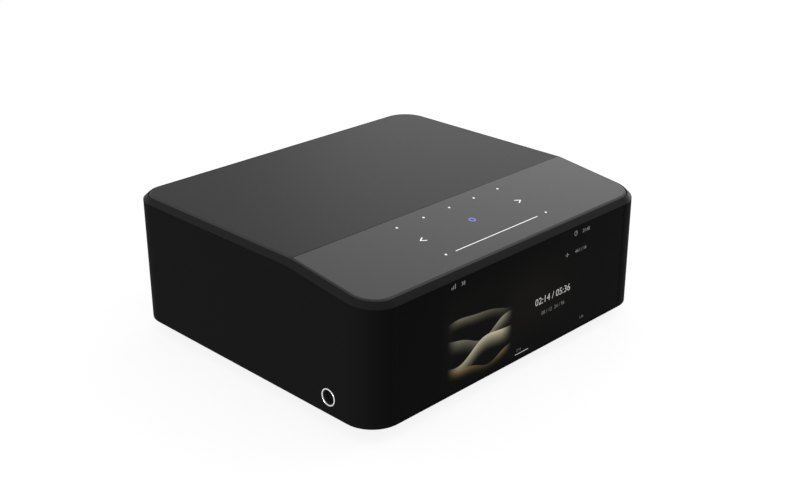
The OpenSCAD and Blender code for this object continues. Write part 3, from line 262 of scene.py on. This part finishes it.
# Circuit boards
boards = {
    "board_green": dict(mask=(0.012, 0.07, 0.032, 1), track=(0.02, 0.12, 0.052, 1),
                        pitch=3.2, drift=60.0, zone=45.0),
    "board_power": dict(mask=(0.09, 0.055, 0.022, 1), track=(0.15, 0.1, 0.045, 1),
                        pitch=1.6, drift=40.0, zone=30.0),
}
tracks = {
    "acrossJog": (0.12, 40.0),  # step of the drift, and how far it moves the wave
    "alongJog": (0.15, 36.0),
    "edge": (0.55, 0.7),  # heights of the wave between which a track begins
    "zoneEdge": (0.48, 0.5),
    "driftDetail": 1.0,
    "zoneDetail": 0.0,
    "roughness": (0.32, 0.38),
}


def boardMaterial(name, mask, track, pitch, drift, zone):
    # Solder mask with lighter tracks: the tops of a sine wave that a stepped noise moves sideways,
    # along x in the zones of a second noise and along y outside them
    material, wire = startMaterial(name)
    x, y = axes(wire, "XY")
    wander = noise(wire, drift, tracks["driftDetail"])

    def lines(place, step, reach):
        return (place * pitch + wander.math("SNAP", step) * reach).sine().rise(*tracks["edge"])

    inZone = noise(wire, zone, tracks["zoneDetail"]).rise(*tracks["zoneEdge"])
    lighter = lines(x, *tracks["acrossJog"]) * inZone + lines(y, *tracks["alongJog"]) * (1 - inZone)
    closeMaterial(wire, {
        "Base Color": lighter.mix(mask, track),
        "Roughness": lighter.span(*tracks["roughness"]),
    })
    return material


materials.update({name: boardMaterial(name, **settings) for name, settings in boards.items()})

# Flat cable of the display
cable = {
    "film": (0.62, 0.6, 0.55, 1),
    "copper": (0.42, 0.34, 0.24, 1),
    "pitch": 0.8,
    "edge": (-0.1, 0.5),
    "roughness": (0.35, 0.45),
}


def ribbonMaterial(name, settings):
    # conductors as even lines across the width: the tops of a sine wave along x
    material, wire = startMaterial(name)
    x = axes(wire, "X")[0]
    lines = (x * (2 * math.pi / settings["pitch"])).sine().rise(*settings["edge"])
    closeMaterial(wire, {
        "Base Color": lines.mix(settings["film"], settings["copper"]),
        "Roughness": lines.span(*settings["roughness"]),
    })
    return material


materials["ribbon"] = ribbonMaterial("ribbon", cable)

# Network socket: a metal shell with a dark lining
jack = {
    "metal": (0.62, 0.6, 0.56, 1),
    "lining": grey(0.012),
    "wall": 0.6,
    "lip": 0.25,
    "roughness": (0.26, 0.46),
    "specular": 0.4,
}


def linedMaterial(name, node, settings):
    # the lining is what lies inside the wall and behind the lip of the solid's box
    material, wire = startMaterial(name)
    low, high = boxOf(node)
    middle = (low + high) / 2
    half = (high - low) / 2 - settings["wall"]
    x, y, z = axes(wire, "XYZ")
    inside = (x - middle[0]).math("ABSOLUTE").math("LESS_THAN", half[0])
    inside = inside * (z - middle[2]).math("ABSOLUTE").math("LESS_THAN", half[2])
    inside = inside * y.math("LESS_THAN", high[1] - settings["lip"])
    closeMaterial(wire, {
        "Base Color": inside.mix(settings["metal"], settings["lining"]),
        "Roughness": inside.span(*settings["roughness"]),
        "Metallic": 1 - inside,
        "Specular IOR Level": settings["specular"],
    })
    return material


print("finishes made:", len(materials))

for entry in frame["record"]["subparts"]:
    node = frame["nodes"][entry["node"]]
    node.data.materials.clear()
    node.data.materials.append(materials[entry["material_slot"]])
frame["nodes"]["ethernet_socket"].data.materials[0] = linedMaterial("network_jack", "ethernet_socket", jack)
frame["nodes"]["headphone_sockets"].data.materials[0] = materials["socket_dark"]
print("finishes on the solids")


def arc(cx, cy, radius, start, steps):
    # quarter circle about (cx, cy) from a start angle in degrees
    a = np.radians(start + np.linspace(0, 90, steps + 1))
    return np.stack([cx + radius * np.cos(a), cy + radius * np.sin(a)], 1)


def roundedRectangle(halfWide, halfTall, radius, steps):
    # four quarter circles about the corners of a smaller rectangle
    x, y = halfWide - radius, halfTall - radius
    corners = [(x, y), (-x, y), (-x, -y), (x, -y)]
    return np.concatenate([arc(*corner, radius, 90 * i, steps) for i, corner in enumerate(corners)])


def roofHeight(y):
    # level behind the crease, then a straight fall to the front
    fall = cabinet["frontDrop"] / (cabinet["halfDepth"] + cabinet["crease"])
    return cabinet["top"] - np.maximum(0, cabinet["crease"] - y) * fall


def halfOutline(inset, creaseGap, rear, steps):
    # outline of the cabinet moved in by inset, from the crease on one side round to the other side:
    # two quarter circles and the straight lines between
    wide, radius = cabinet["halfWidth"], cabinet["cornerRadius"]
    sign, start = (1, 0) if rear else (-1, 180)
    x, y = sign * (wide - radius), sign * (cabinet["halfDepth"] - radius)
    end = cabinet["crease"] + sign * creaseGap
    return np.concatenate([
        [[sign * (wide - inset), end]],
        arc(x, y, radius - inset, start, steps),
        arc(-x, y, radius - inset, start + 90, steps),
        [[-sign * (wide - inset), end]],
    ])


def lifted(plan, drop):
    # plan points raised to a distance below the top
    return np.column_stack([plan, roofHeight(plan[:, 1]) - drop])


def softened(points, cuts, steps=6, mostCut=0.49):
    # polyline whose inner corners p become arcs (1-t)^2 a + 2t(1-t) p + t^2 b between points a and b
    # on its sides, a cut away from p and within a share of the side
    points = np.asarray(points, float)
    t = np.linspace(0, 1, steps)[:, None]
    rows = [points[:1]]
    for before, p, after, cut in zip(points[:-2], points[1:-1], points[2:], cuts):
        a = p + (before - p) * min(cut / np.linalg.norm(before - p), mostCut)
        b = p + (after - p) * min(cut / np.linalg.norm(after - p), mostCut)
        rows.append((1 - t) ** 2 * a + 2 * t * (1 - t) * p + t ** 2 * b)
    return np.concatenate(rows + [points[-1:]])


def loft(rings, capped=True):
    # rings of points joined by quads; the end rings get flat faces, or are joined to each other
    rings = np.asarray(rings, float)
    count, size = rings.shape[:2]
    i, j = np.meshgrid(np.arange(count - capped), np.arange(size), indexing="ij")
    below, above, after = i * size, (i + 1) % count * size, (j + 1) % size
    quads = np.stack([below + j, below + after, above + after, above + j], -1).reshape(-1, 4).tolist()
    ends = [np.arange(size)[::-1].tolist(), (np.arange(size) + (count - 1) * size).tolist()]
    return rings.reshape(-1, 3), quads + ends * capped


def makePiece(name, shapes, material, replaced=(), smooth=32.0):
    # joins shapes given in millimetres into one mesh, in place, and seats it on the chassis;
    # edges flatter than smooth, in degrees, are shaded round
    starts = np.cumsum([0] + [len(points) for points, faces in shapes])
    points = np.concatenate([points for points, faces in shapes]) * mm
    faces = [[int(start + v) for v in face] for start, shape in zip(starts, shapes) for face in shape[1]]
    mesh = bpy.data.meshes.new(name)
    mesh.from_pydata(points.tolist(), [], faces)
    work = bmesh.new()
    work.from_mesh(mesh)
    bmesh.ops.recalc_face_normals(work, faces=work.faces)
    work.to_mesh(mesh)
    work.free()
    mesh.polygons.foreach_set("use_smooth", np.ones(len(mesh.polygons), bool))
    mesh.set_sharp_from_angle(angle=math.radians(smooth))
    mesh.materials.append(material)
    piece = bpy.data.objects.new(name, mesh)
    bpy.context.scene.collection.objects.link(piece)
    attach(piece, "chassis")
    if replaced:
        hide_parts(*replaced)
    return piece


def turned(profile, centre, axis, steps=64):
    # closed profile of (radius, height) carried round an axis:
    # point = centre + radius (cos a, sin a) in the plane across the axis + height along it
    profile = np.asarray(profile, float)
    along = np.asarray(axis, float)
    first = np.array([0.0, 0.0, 1.0])
    second = np.cross(along, first)
    a = np.linspace(0, 2 * np.pi, steps, endpoint=False)[:, None, None]
    spread = profile[None, :, :1] * (np.cos(a) * first + np.sin(a) * second)
    return loft(centre + spread + profile[None, :, 1:] * along, capped=False)


# Rings and liners of the headphone sockets, as (radius, height from the cabinet's side)
headphone = {
    "mounts": ["headphone_left", "headphone_right"],
    "ring": [(4.1, -0.4), (4.88, -0.4), (4.88, 0.2), (4.74, 0.42), (4.5, 0.5), (4.26, 0.42), (4.1, 0.2)],
    "liner": [(3.65, -2.9), (4.25, -2.9), (4.25, 0.02), (4.1, 0.08), (3.8, 0.0), (3.65, -0.2)],
    "ringSmooth": 50.0,
    "linerSmooth": 40.0,
}
sides = [((axis[0] * cabinet["halfWidth"], place[1], place[2]), axis)
         for place, axis in mountsOf(*headphone["mounts"])]
makePiece("headphone_rings_turned", [turned(headphone["ring"], *side) for side in sides],
          materials["ring_chrome"], ["headphone_rings"], headphone["ringSmooth"])
makePiece("headphone_liners", [turned(headphone["liner"], *side) for side in sides],
          materials["socket_dark"], smooth=headphone["linerSmooth"])

# Collars round the two small sockets at the back, as (radius, height from the face of the sockets)
collar = {
    "mounts": ["trigger_socket", "remote_socket"],
    "profile": [(1.85, -0.3), (2.95, -0.3), (2.95, 0.1), (2.75, 0.25), (2.1, 0.25), (1.85, 0.05)],
    "face": boxOf("mini_sockets")[1][1],
    "smooth": 40.0,
}
bores = [((place[0], collar["face"], place[2]), axis) for place, axis in mountsOf(*collar["mounts"])]
makePiece("small_socket_collars", [turned(collar["profile"], *bore) for bore in bores],
          materials["nickel"], smooth=collar["smooth"])
print("turned rings made")

# The two top panels: a bevelled sheet each, with softened edges
topPanel = {
    "edge": 3.4,  # inset of the outer edge
    "thickness": 1.8,
    "bevelWidth": 1.2,
    "seam": 0.2,  # gap between the panels at the crease
    "creaseEdge": 0.09,  # small bevel along the crease
    "cuts": (0.14, 0.02, 0.3),  # softening of the edges, from the outer one inwards
    "flat": 1.2,  # width of the first strip of the face
    "edgeFade": 0.2,
    "steps": 40,
}


def panelShape(settings, rear):
    # profile of (inset, drop, gap at the crease) carried round half of the outline,
    # and a number for each point that says how far it is on the bevel: the mask of the bevel's painted
    # light
    edge, lip, gap = settings["edge"], cabinet["lipHeight"], settings["seam"] / 2
    inner, nick, flat = edge + settings["bevelWidth"], settings["creaseEdge"], settings["flat"]
    onBevel = inner - settings["bevelWidth"] * nick / lip
    profile = softened([
        (edge, settings["thickness"], gap),
        (edge, lip, gap),
        (onBevel, nick, gap),
        (inner, 0, gap + nick),
        (inner + flat, 0, gap + nick + flat),
    ], settings["cuts"])
    rings = [lifted(halfOutline(inset, creaseGap, rear, settings["steps"]), drop)
             for inset, drop, creaseGap in profile]
    paintedBevelMask = np.clip((inner - profile[:, 0]) / settings["edgeFade"], 0, 1)
    return loft(rings), np.repeat(paintedBevelMask, len(rings[0]))


def makePanel(name, rear, finishName, replaced):
    # a panel that carries its bevel as the attribute edge, the mask of its painted bevel light:
    # a painted highlight on the top cover, painted shade on the control glass
    shape, paintedBevelMask = panelShape(topPanel, rear)
    panel = makePiece(name, [shape], materials[finishName], [replaced])
    panel.data.attributes.new("edge", "FLOAT", "POINT").data.foreach_set("value", paintedBevelMask)


makePanel("top_cover_panel", True, "top_satin", "top_cover")
makePanel("control_glass", False, "touch_glass", "control_panel")

# Smooth skin on the chamfered band
band = {
    "skin": 0.03,
    "lead": 0.12,  # width over which the skin begins at the side
    "root": 0.5,  # depth of its hidden foot in the rim
    "rootDrop": 0.1,
    "seatGap": 0.01,
    "steps": 48,
    "smooth": 20.0,
}


def bandShape(settings):
    # closed profile of (inset, drop) carried round the whole outline
    width, height, lip = cabinet["bandWidth"], cabinet["bandHeight"], cabinet["lipHeight"]
    skin, lead, root = settings["skin"], settings["lead"], settings["root"]
    low, seat = lip + height, cabinet["seatInset"] - settings["seatGap"]
    profile = [
        (0.0, low),
        (lead, low - lead * height / width - skin),
        (width, lip - skin),
        (seat, lip - skin),
        (seat, lip + root),
        (root, low + settings["rootDrop"]),
    ]
    rings = []
    for inset, drop in profile:
        rear, front = (halfOutline(inset, 0.0, isRear, settings["steps"]) for isRear in (True, False))
        rings.append(lifted(np.concatenate([rear, front[1:-1]]), drop))
    return loft(rings, capped=False)


makePiece("rim_band", [bandShape(band)], materials["band_coat"], smooth=band["smooth"])
print("top panels and band made")

# Lens over the front, a hair behind the cabinet's front face
lens = {
    "setBack": 0.12,
    "soft": 0.3,  # width of the softened edge
    "cuts": (0.24, 0.05),
    "flat": 1.0,  # width of the first strip of the face
    "radius": 1.0,
    "leastRadius": 0.4,
    "steps": 12,
}


def lensShape(settings):
    # rounded rectangle carried along a profile of (inset, y), from back to front and in over the face
    low, high = boxOf("front_lens")
    middle, half = (low + high) / 2, (high - low) / 2
    front, soft = low[1] + settings["setBack"], settings["soft"]
    face = soft + settings["flat"]
    profile = softened([(0, high[1]), (0, front), (soft, front), (face, front)], settings["cuts"])

    def ring(inset, y):
        radius = max(settings["radius"] - inset, settings["leastRadius"])
        plan = roundedRectangle(half[0] - inset, half[2] - inset, radius, settings["steps"])
        return np.column_stack([plan[:, 0] + middle[0], np.full(len(plan), y), plan[:, 1] + middle[2]])

    return loft([ring(inset, y) for inset, y in profile])


makePiece("front_glass", [lensShape(lens)], materials["lens_glass"], ["front_lens"])
print("lens made")

# Lit marks: thin flat shapes in plan, with a height that is later laid on the panel or the lens
mark = {
    "around": 14,  # points round a section
    "endSteps": 9,
    "endStart": 2.0,  # degrees from the tip to the first section
    "hoopSteps": 48,
    "textDepth": 0.01,
    "textSteps": 4,
}
glow = {
    "wander": 900.0,
    "detail": 1.0,
    "spread": 0.12,
    "base": (grey(0.02), grey(0.03)),
    "roughness": 0.35,
    "specular": 0.1,
}


def capsule(a, b, width, rise):
    # flat bar with round ends: an ellipse carried from a to b, its width falling off as a half circle
    a, b = np.asarray(a, float), np.asarray(b, float)
    r, reach = width / 2, np.linalg.norm(b - a)
    along = (b - a) / reach if reach > 0 else np.array([1.0, 0.0])
    turn = np.radians(np.linspace(mark["endStart"], 90, mark["endSteps"]))
    back = turn[::-1] if reach > 0 else turn[-2::-1]  # a dot has its middle section once
    s = np.concatenate([-r * np.cos(turn), reach + r * np.cos(back)])
    w = np.concatenate([np.sin(turn), np.sin(back)])
    t = np.linspace(0, 2 * np.pi, mark["around"], endpoint=False)
    side = np.array([-along[1], along[0]])
    plan = a + s[:, None, None] * along + (r * w[:, None] * np.cos(t))[..., None] * side
    lift = np.sqrt(w)[:, None] * rise * np.sin(t)
    return loft(np.concatenate([plan, lift[..., None]], -1))


def dot(centre, width, rise):
    return capsule(centre, centre, width, rise)


def hoop(centre, radius, width, rise):
    # flat ring: an ellipse carried round a circle
    a = np.linspace(0, 2 * np.pi, mark["hoopSteps"], endpoint=False)[:, None]
    t = np.linspace(0, 2 * np.pi, mark["around"], endpoint=False)
    r = radius + width / 2 * np.cos(t)
    x, y = centre[0] + r * np.cos(a), centre[1] + r * np.sin(a)
    return loft(np.stack([x, y, np.broadcast_to(rise * np.sin(t), x.shape)], -1), capped=False)


def numerals(text, height, centre, rise):
    # figures as a thin solid, scaled to a height and centred
    curve = bpy.data.curves.new("figures", "FONT")
    curve.body = text
    curve.extrude = mark["textDepth"]
    curve.resolution_u = mark["textSteps"]
    holder = bpy.data.objects.new("figures", curve)
    bpy.context.scene.collection.objects.link(holder)
    mesh = bpy.data.meshes.new_from_object(holder.evaluated_get(bpy.context.evaluated_depsgraph_get()))
    points = np.zeros(len(mesh.vertices) * 3)
    mesh.vertices.foreach_get("co", points)
    points = points.reshape(-1, 3)
    faces = [list(p.vertices) for p in mesh.polygons]
    bpy.data.objects.remove(holder)
    bpy.data.meshes.remove(mesh)
    low, high = points.min(0), points.max(0)
    points = (points - (low + high) / 2) * (height / (high[1] - low[1]))
    points[:, 2] *= rise / points[:, 2].max()
    return points + (*centre, 0), faces


def onSlope(shape):
    # from (x, y, rise) to the sloped control panel
    points, faces = shape
    return np.column_stack([points[:, :2], roofHeight(points[:, 1]) + points[:, 2]]), faces


def onFront(shape):
    # from (x, height above the cabinet's foot, rise) to the front of the lens
    points, faces = shape
    plane = -cabinet["halfDepth"] + lens["setBack"]
    return np.column_stack([points[:, 0], plane - points[:, 2], points[:, 1] + cabinet["foot"]]), faces


def glowMaterial(name, colour, strength=1.0):
    # lit mark: its own colour, wandering a little
    material, wire = startMaterial(name)
    wander, spread = noise(wire, glow["wander"], glow["detail"]), glow["spread"]
    closeMaterial(wire, {
        "Base Color": wander.mix(*glow["base"]),
        "Roughness": glow["roughness"],
        "Specular IOR Level": glow["specular"],
        "Emission Color": wander.mix(scaled(colour, 1 - spread), scaled(colour, 1 + spread)),
        "Emission Strength": strength,
    })
    return material


# Marks on the control panel: a row of dots, two chevrons, a ring, a slider and a dot at each end of it
touch = {
    "rise": 0.03,
    "white": (0.9, 0.92, 0.95),
    "whiteStrength": 1.25,
    "blue": (0.17, 0.18, 0.56),
    "dots": 5,
    "firstDot": (-40.6, -45.1),
    "dotPitch": 20.2,
    "dotWidth": 1.38,
    "chevrons": [(-39.0, -62.1, -1), (38.6, -62.1, 1)],  # middle, and the way it points
    "chevronSize": (3.0, 3.4),
    "chevronLine": 0.64,
    "ring": (-0.3, -62.1),
    "ringRadius": 1.6,
    "ringLine": 1.1,
    "slider": [(-33.2, -80.4), (32.5, -80.4)],
    "sliderLine": 0.5,
    "ends": [(-40.4, -80.0), (40.4, -80.0)],
    "endWidth": 1.35,
}


def chevron(x, y, side, settings):
    # two bars that meet at a tip
    deep, tall = settings["chevronSize"]
    tip = (x + side * deep / 2, y)
    tails = [(x - side * deep / 2, y + s * tall / 2) for s in (-1, 1)]
    return [capsule(tail, tip, settings["chevronLine"], settings["rise"]) for tail in tails]


def touchShapes(settings):
    # the white marks of the panel, one after the other
    rise, (firstX, rowY) = settings["rise"], settings["firstDot"]
    row = [(firstX + settings["dotPitch"] * i, rowY) for i in range(settings["dots"])]
    shapes = [dot(place, settings["dotWidth"], rise) for place in row]
    shapes += [dot(place, settings["endWidth"], rise) for place in settings["ends"]]
    shapes += [arm for place in settings["chevrons"] for arm in chevron(*place, settings)]
    return shapes + [capsule(*settings["slider"], settings["sliderLine"], rise)]


touchRing = hoop(touch["ring"], touch["ringRadius"], touch["ringLine"], touch["rise"])
makePiece("touch_marks", [onSlope(shape) for shape in touchShapes(touch)],
          glowMaterial("mark_white", touch["white"], touch["whiteStrength"]))
makePiece("touch_ring", [onSlope(touchRing)], glowMaterial("mark_blue", touch["blue"]))
print("touch marks made")

# Picture on the display: dunes in evening light, on a lit sheet with a faint haze.
# All of the display is placed from the middle of the cabinet and from its foot
picture = {
    "corner": (-57.2, 2.5),  # lower left
    "size": 51.6,
    "sheet": ((-63.0, 1.6), (68.0, 63.75)),  # low and high corner, both on the flat face of the lens
    "sheetRadius": 0.6,
    "sheetSteps": 6,
    "sheetDepth": (-0.05, 0.018),  # from behind the face of the lens to just in front of it
    "haze": (0.0032, 0.0026, 0.002, 1),
    "hazeFade": (10.0, 60.0, 30.0, 30.0),  # width of its fade at the left, right, foot and top
    "hazeNoise": (25.0, 2.0),
    "hazeSpan": (0.6, 1.4),
    "edge": 0.2,
    "dark": (0.0012, 0.0009, 0.0007, 1),
    "dusk": (0.035, 0.017, 0.006, 1),
    "glow": (0.36, 0.3),
    "glowSquash": 1.6,
    "glowReach": (0.02, 0.62),
    "ripple": (2.3, 2.0, 0.25),  # second sine of a ridge: waves, phase and swell against the first
    "shade": (0.8, 0.9, 0.35),  # light along a ridge: waves against the first sine, phase and depth
    "falloff": 2.2,
    "ridgeEdge": 0.004,
    "glassSpread": 0.045,
    # each dune: height, swell, waves, phase, depth of its light, colour of its ridge
    "dunes": [
        (0.7, 0.06, 4.4, 0.4, 0.13, (0.16, 0.145, 0.1, 1)),
        (0.52, 0.09, 5.2, 2.2, 0.18, (0.36, 0.34, 0.25, 1)),
        (0.35, 0.1, 4.6, 4.4, 0.2, (0.5, 0.46, 0.32, 1)),
        (0.17, 0.06, 5.8, 1.2, 0.14, (0.3, 0.22, 0.1, 1)),
    ],
}


def duneLayer(u, v, colour, dune, settings):
    # one dune over the colour behind it: its ridge is a sum of two sines, lit at the crest and dark below
    height, swell, waves, phase, depth, ridge = dune
    rippleWaves, ripplePhase, rippleSwell = settings["ripple"]
    shadeWaves, shadePhase, shadeDepth = settings["shade"]
    wave = (u * waves + phase).sine() * swell
    ripple = (u * (waves * rippleWaves) + phase * ripplePhase).sine() * (swell * rippleSwell)
    below = wave + ripple + height - v
    lit = (1 - below / depth).math("MAXIMUM", 0.0) ** settings["falloff"]
    shade = (u * (waves * shadeWaves) + phase + shadePhase).sine() * shadeDepth + (1 - shadeDepth)
    sand = (lit * shade).mix(settings["dark"], ridge)
    return below.rise(-settings["ridgeEdge"], settings["ridgeEdge"]).mix(colour, sand)


def framed(distances, margins):
    # product of smooth steps of the distances from four edges: 0 at an edge, 1 past its margin
    left, right, low, high = (distance.rise(0.0, margin) for distance, margin in zip(distances, margins))
    return left * right * low * high


def pictureMaterial(settings):
    # a glow that fades with distance, then dunes from back to front, faded into the haze at the edges
    material, wire = startMaterial("screen_picture")
    x, height = axes(wire, "XZ")
    z = height - cabinet["foot"]
    u = (x - settings["corner"][0]) / settings["size"]
    v = (z - settings["corner"][1]) / settings["size"]
    du, dv = u - settings["glow"][0], v - settings["glow"][1]
    away = (du * du + dv * dv * settings["glowSquash"]).math("SQRT")
    colour = (1 - away.rise(*settings["glowReach"])).mix(settings["dark"], settings["dusk"])
    for dune in settings["dunes"]:
        colour = duneLayer(u, v, colour, dune, settings)
    inPicture = framed([u, 1 - u, v, 1 - v], [settings["edge"]] * 4)
    (left, low), (right, high) = settings["sheet"]
    near = framed([x - left, right - x, z - low, high - z], settings["hazeFade"])
    patchy = noise(wire, *settings["hazeNoise"]).span(*settings["hazeSpan"])
    haze = (near * patchy).mix(grey(0.0), settings["haze"])
    glass, spread = finishes["lens_glass"], settings["glassSpread"]
    closeMaterial(wire, {
        "Base Color": away.mix(scaled(glass["colour"], 1 - spread), scaled(glass["colour"], 1 + spread)),
        "Roughness": glass["roughness"],
        "Specular IOR Level": glass["specular"],
        "Emission Color": inPicture.mix(haze, colour),
        "Emission Strength": 1.0,
    })
    return material


def pictureShape(settings):
    # rounded rectangle carried straight through the thickness of the sheet
    low, high = np.array(settings["sheet"])
    half = (high - low) / 2
    plan = roundedRectangle(*half, settings["sheetRadius"], settings["sheetSteps"]) + (low + high) / 2
    return loft([np.column_stack([plan, np.full(len(plan), depth)]) for depth in settings["sheetDepth"]])


makePiece("screen_picture", [onFront(pictureShape(picture))], pictureMaterial(picture))

# Figures and signs on the display
display = {
    "rise": 0.03,
    # text, height, middle
    "time": ("02:14 / 05:36", 4.1, (28.4, 29.4)),
    "small": [("21:45", 2.1, (55.6, 60.2)), ("44.1 / 16", 2.0, (51.6, 49.5)), ("38", 2.1, (-45.6, 61.2))],
    "dim": [("08 / 12  24 / 96", 2.3, (29.0, 21.4)), ("2:14", 1.5, (0.2, 6.2)), ("5:36", 1.5, (56.0, 6.2))],
    "progress": [(-2.4, 3.8), (8.3, 3.8)],
    "progressLine": 0.55,
    "dial": (46.4, 60.6),
    "dialRadius": 1.25,
    "dialLine": 0.42,
    "dialHands": [(0.0, 0.8), (0.6, 0.0)],
    "handLine": 0.35,
    "cross": (39.5, 49.6),
    "crossReach": (1.1, 0.9),
    "crossLine": 0.7,
    "level": (-54.0, 60.3),  # foot of the first bar
    "levelPitch": 1.2,
    "levelHeights": [0.9, 1.6, 2.3],
    "levelLine": 0.6,
    "brightTone": (0.42, 0.42, 0.41),
    "softTone": (0.2, 0.2, 0.2),
    "dimTone": (0.1, 0.1, 0.1),
}


def signShapes(settings):
    # a dial with two hands, a cross of a bar between two dots, and a level wedge of upright bars
    rise = settings["rise"]
    x, z = settings["dial"]
    shapes = [hoop((x, z), settings["dialRadius"], settings["dialLine"], rise)]
    tips = [(x + dx, z + dz) for dx, dz in settings["dialHands"]]
    shapes += [capsule((x, z), tip, settings["handLine"], rise) for tip in tips]
    x, z = settings["cross"]
    wide, tall = settings["crossReach"]
    shapes += [dot((x + s * wide, z), settings["crossLine"], rise) for s in (-1, 1)]
    shapes.append(capsule((x, z - tall), (x, z + tall), settings["crossLine"], rise))
    x, z = settings["level"]
    for i, height in enumerate(settings["levelHeights"]):
        foot = x + i * settings["levelPitch"]
        shapes.append(capsule((foot, z), (foot, z + height), settings["levelLine"], rise))
    return shapes


def makeDisplayMarks(name, shapes, glowName, tone):
    makePiece(name, [onFront(shape) for shape in shapes], glowMaterial(glowName, tone))


brightMarks = [
    numerals(*display["time"], display["rise"]),
    capsule(*display["progress"], display["progressLine"], display["rise"]),
]
smallMarks = [numerals(*figure, display["rise"]) for figure in display["small"]] + signShapes(display)
dimMarks = [numerals(*figure, display["rise"]) for figure in display["dim"]]
makeDisplayMarks("screen_figures", brightMarks, "screen_bright", display["brightTone"])
makeDisplayMarks("screen_signs", smallMarks, "screen_soft", display["softTone"])
makeDisplayMarks("screen_lines", dimMarks, "screen_dim", display["dimTone"])
print("display made")

# Stage in metres: pale floor, soft lights, camera at the photograph's angle
stage = {
    "floorSize": 40.0,
    "floorCells": 8,
    "floorTone": 0.14,
    "floorSpread": 0.01,
    "floorNoise": (3.0, 1.0),
    "floorRoughness": 0.9,
    "floorGlow": 0.86,
    "sky": 1.0,
    "lights": [
        # name, place, aim, width, height, power
        ("back_right", (0.86, 0.56, 0.44), (0.02, 0.0, 0.06), 0.7, 0.4, 1.55),
        ("left", (-1.1, -0.05, 0.045), (-0.1, 0.0, 0.045), 0.5, 0.07, 13.5),
        ("right", (1.1, -0.15, 0.045), (0.1, 0.0, 0.045), 0.5, 0.07, 3.6),
        ("front_right", (0.75, -0.45, 0.85), (0.0, 0.0, 0.05), 0.6, 0.6, 2.6),
    ],
}
camera = {
    "azimuth": -45.229,
    "elevation": 23.155,
    "roll": -0.11,
    "distance": 0.721193,
    "lens": 55.885,
    "sensor": 36.0,
    "clipStart": 0.01,
    "shiftRight": 5.05 * mm,  # of the point that the camera looks at
    "shiftUp": 3.61 * mm,
    "height": 46.2 * mm,
}


def floorMaterial(settings):
    material, wire = startMaterial("floor")
    tone, wander = settings["floorTone"], noise(wire, *settings["floorNoise"])
    closeMaterial(wire, {
        "Base Color": wander.mix(grey(tone * (1 - settings["floorSpread"])), grey(tone)),
        "Roughness": settings["floorRoughness"],
        "Specular IOR Level": 0.0,
        "Emission Color": grey(1.0),
        "Emission Strength": settings["floorGlow"],
    })
    return material


def makeFloor(settings):
    # level sheet as a square grid of cells
    cells = settings["floorCells"]
    line = np.linspace(-settings["floorSize"] / 2, settings["floorSize"] / 2, cells + 1)
    x, y = np.meshgrid(line, line)
    i, j = np.meshgrid(np.arange(cells), np.arange(cells), indexing="ij")
    first = (i * (cells + 1) + j).ravel()
    after = first + cells + 1  # same corner in the next row
    points = np.stack([x, y, np.zeros_like(x)], -1).reshape(-1, 3)
    mesh = bpy.data.meshes.new("floor")
    mesh.from_pydata(points.tolist(), [], np.stack([first, first + 1, after + 1, after], 1).tolist())
    mesh.materials.append(floorMaterial(settings))
    floor = bpy.data.objects.new("floor", mesh)
    bpy.context.scene.collection.objects.link(floor)


def makeLight(name, place, aim, width, height, power):
    data = bpy.data.lights.new(name, "AREA")
    data.shape = "RECTANGLE"
    data.size = width
    data.size_y = height
    data.energy = power
    light = bpy.data.objects.new(name, data)
    bpy.context.scene.collection.objects.link(light)
    toward = Vector(aim) - Vector(place)
    light.matrix_world = Matrix.Translation(place) @ toward.to_track_quat("-Z", "Y").to_matrix().to_4x4()


def makeCamera(settings):
    azimuth, elevation, roll = (math.radians(settings[key]) for key in ("azimuth", "elevation", "roll"))
    away = Vector((math.sin(azimuth), -math.cos(azimuth), 0))
    back = math.cos(elevation) * away + math.sin(elevation) * Vector((0, 0, 1))
    level = Vector((math.cos(azimuth), math.sin(azimuth), 0))
    upright = back.cross(level)
    right = math.cos(roll) * level + math.sin(roll) * upright
    above = math.cos(roll) * upright - math.sin(roll) * level
    shift = settings["shiftRight"] * right + settings["shiftUp"] * above
    target = Vector((0, 0, settings["height"])) + shift
    data = bpy.data.cameras.new("camera")
    data.lens = settings["lens"]
    data.sensor_width = settings["sensor"]
    data.clip_start = settings["clipStart"]
    holder = bpy.data.objects.new("camera", data)
    bpy.context.scene.collection.objects.link(holder)
    turn = Matrix((right, above, back)).transposed().to_4x4()
    holder.matrix_world = Matrix.Translation(target + back * settings["distance"]) @ turn
    bpy.context.scene.camera = holder


def makeSky(strength):
    world = bpy.data.worlds.new("studio")
    world.use_nodes = True
    world.node_tree.nodes.clear()
    wire = Wire(world.node_tree)
    light = wire.node("ShaderNodeBackground", {}, {"Color": grey(1.0), "Strength": strength})
    wire.node("ShaderNodeOutputWorld", {}, {"Surface": light})
    bpy.context.scene.world = world


makeFloor(stage)
for light in stage["lights"]:
    makeLight(*light)
makeSky(stage["sky"])
makeCamera(camera)
bpy.context.scene.view_settings.view_transform = "Standard"
print("stage set")
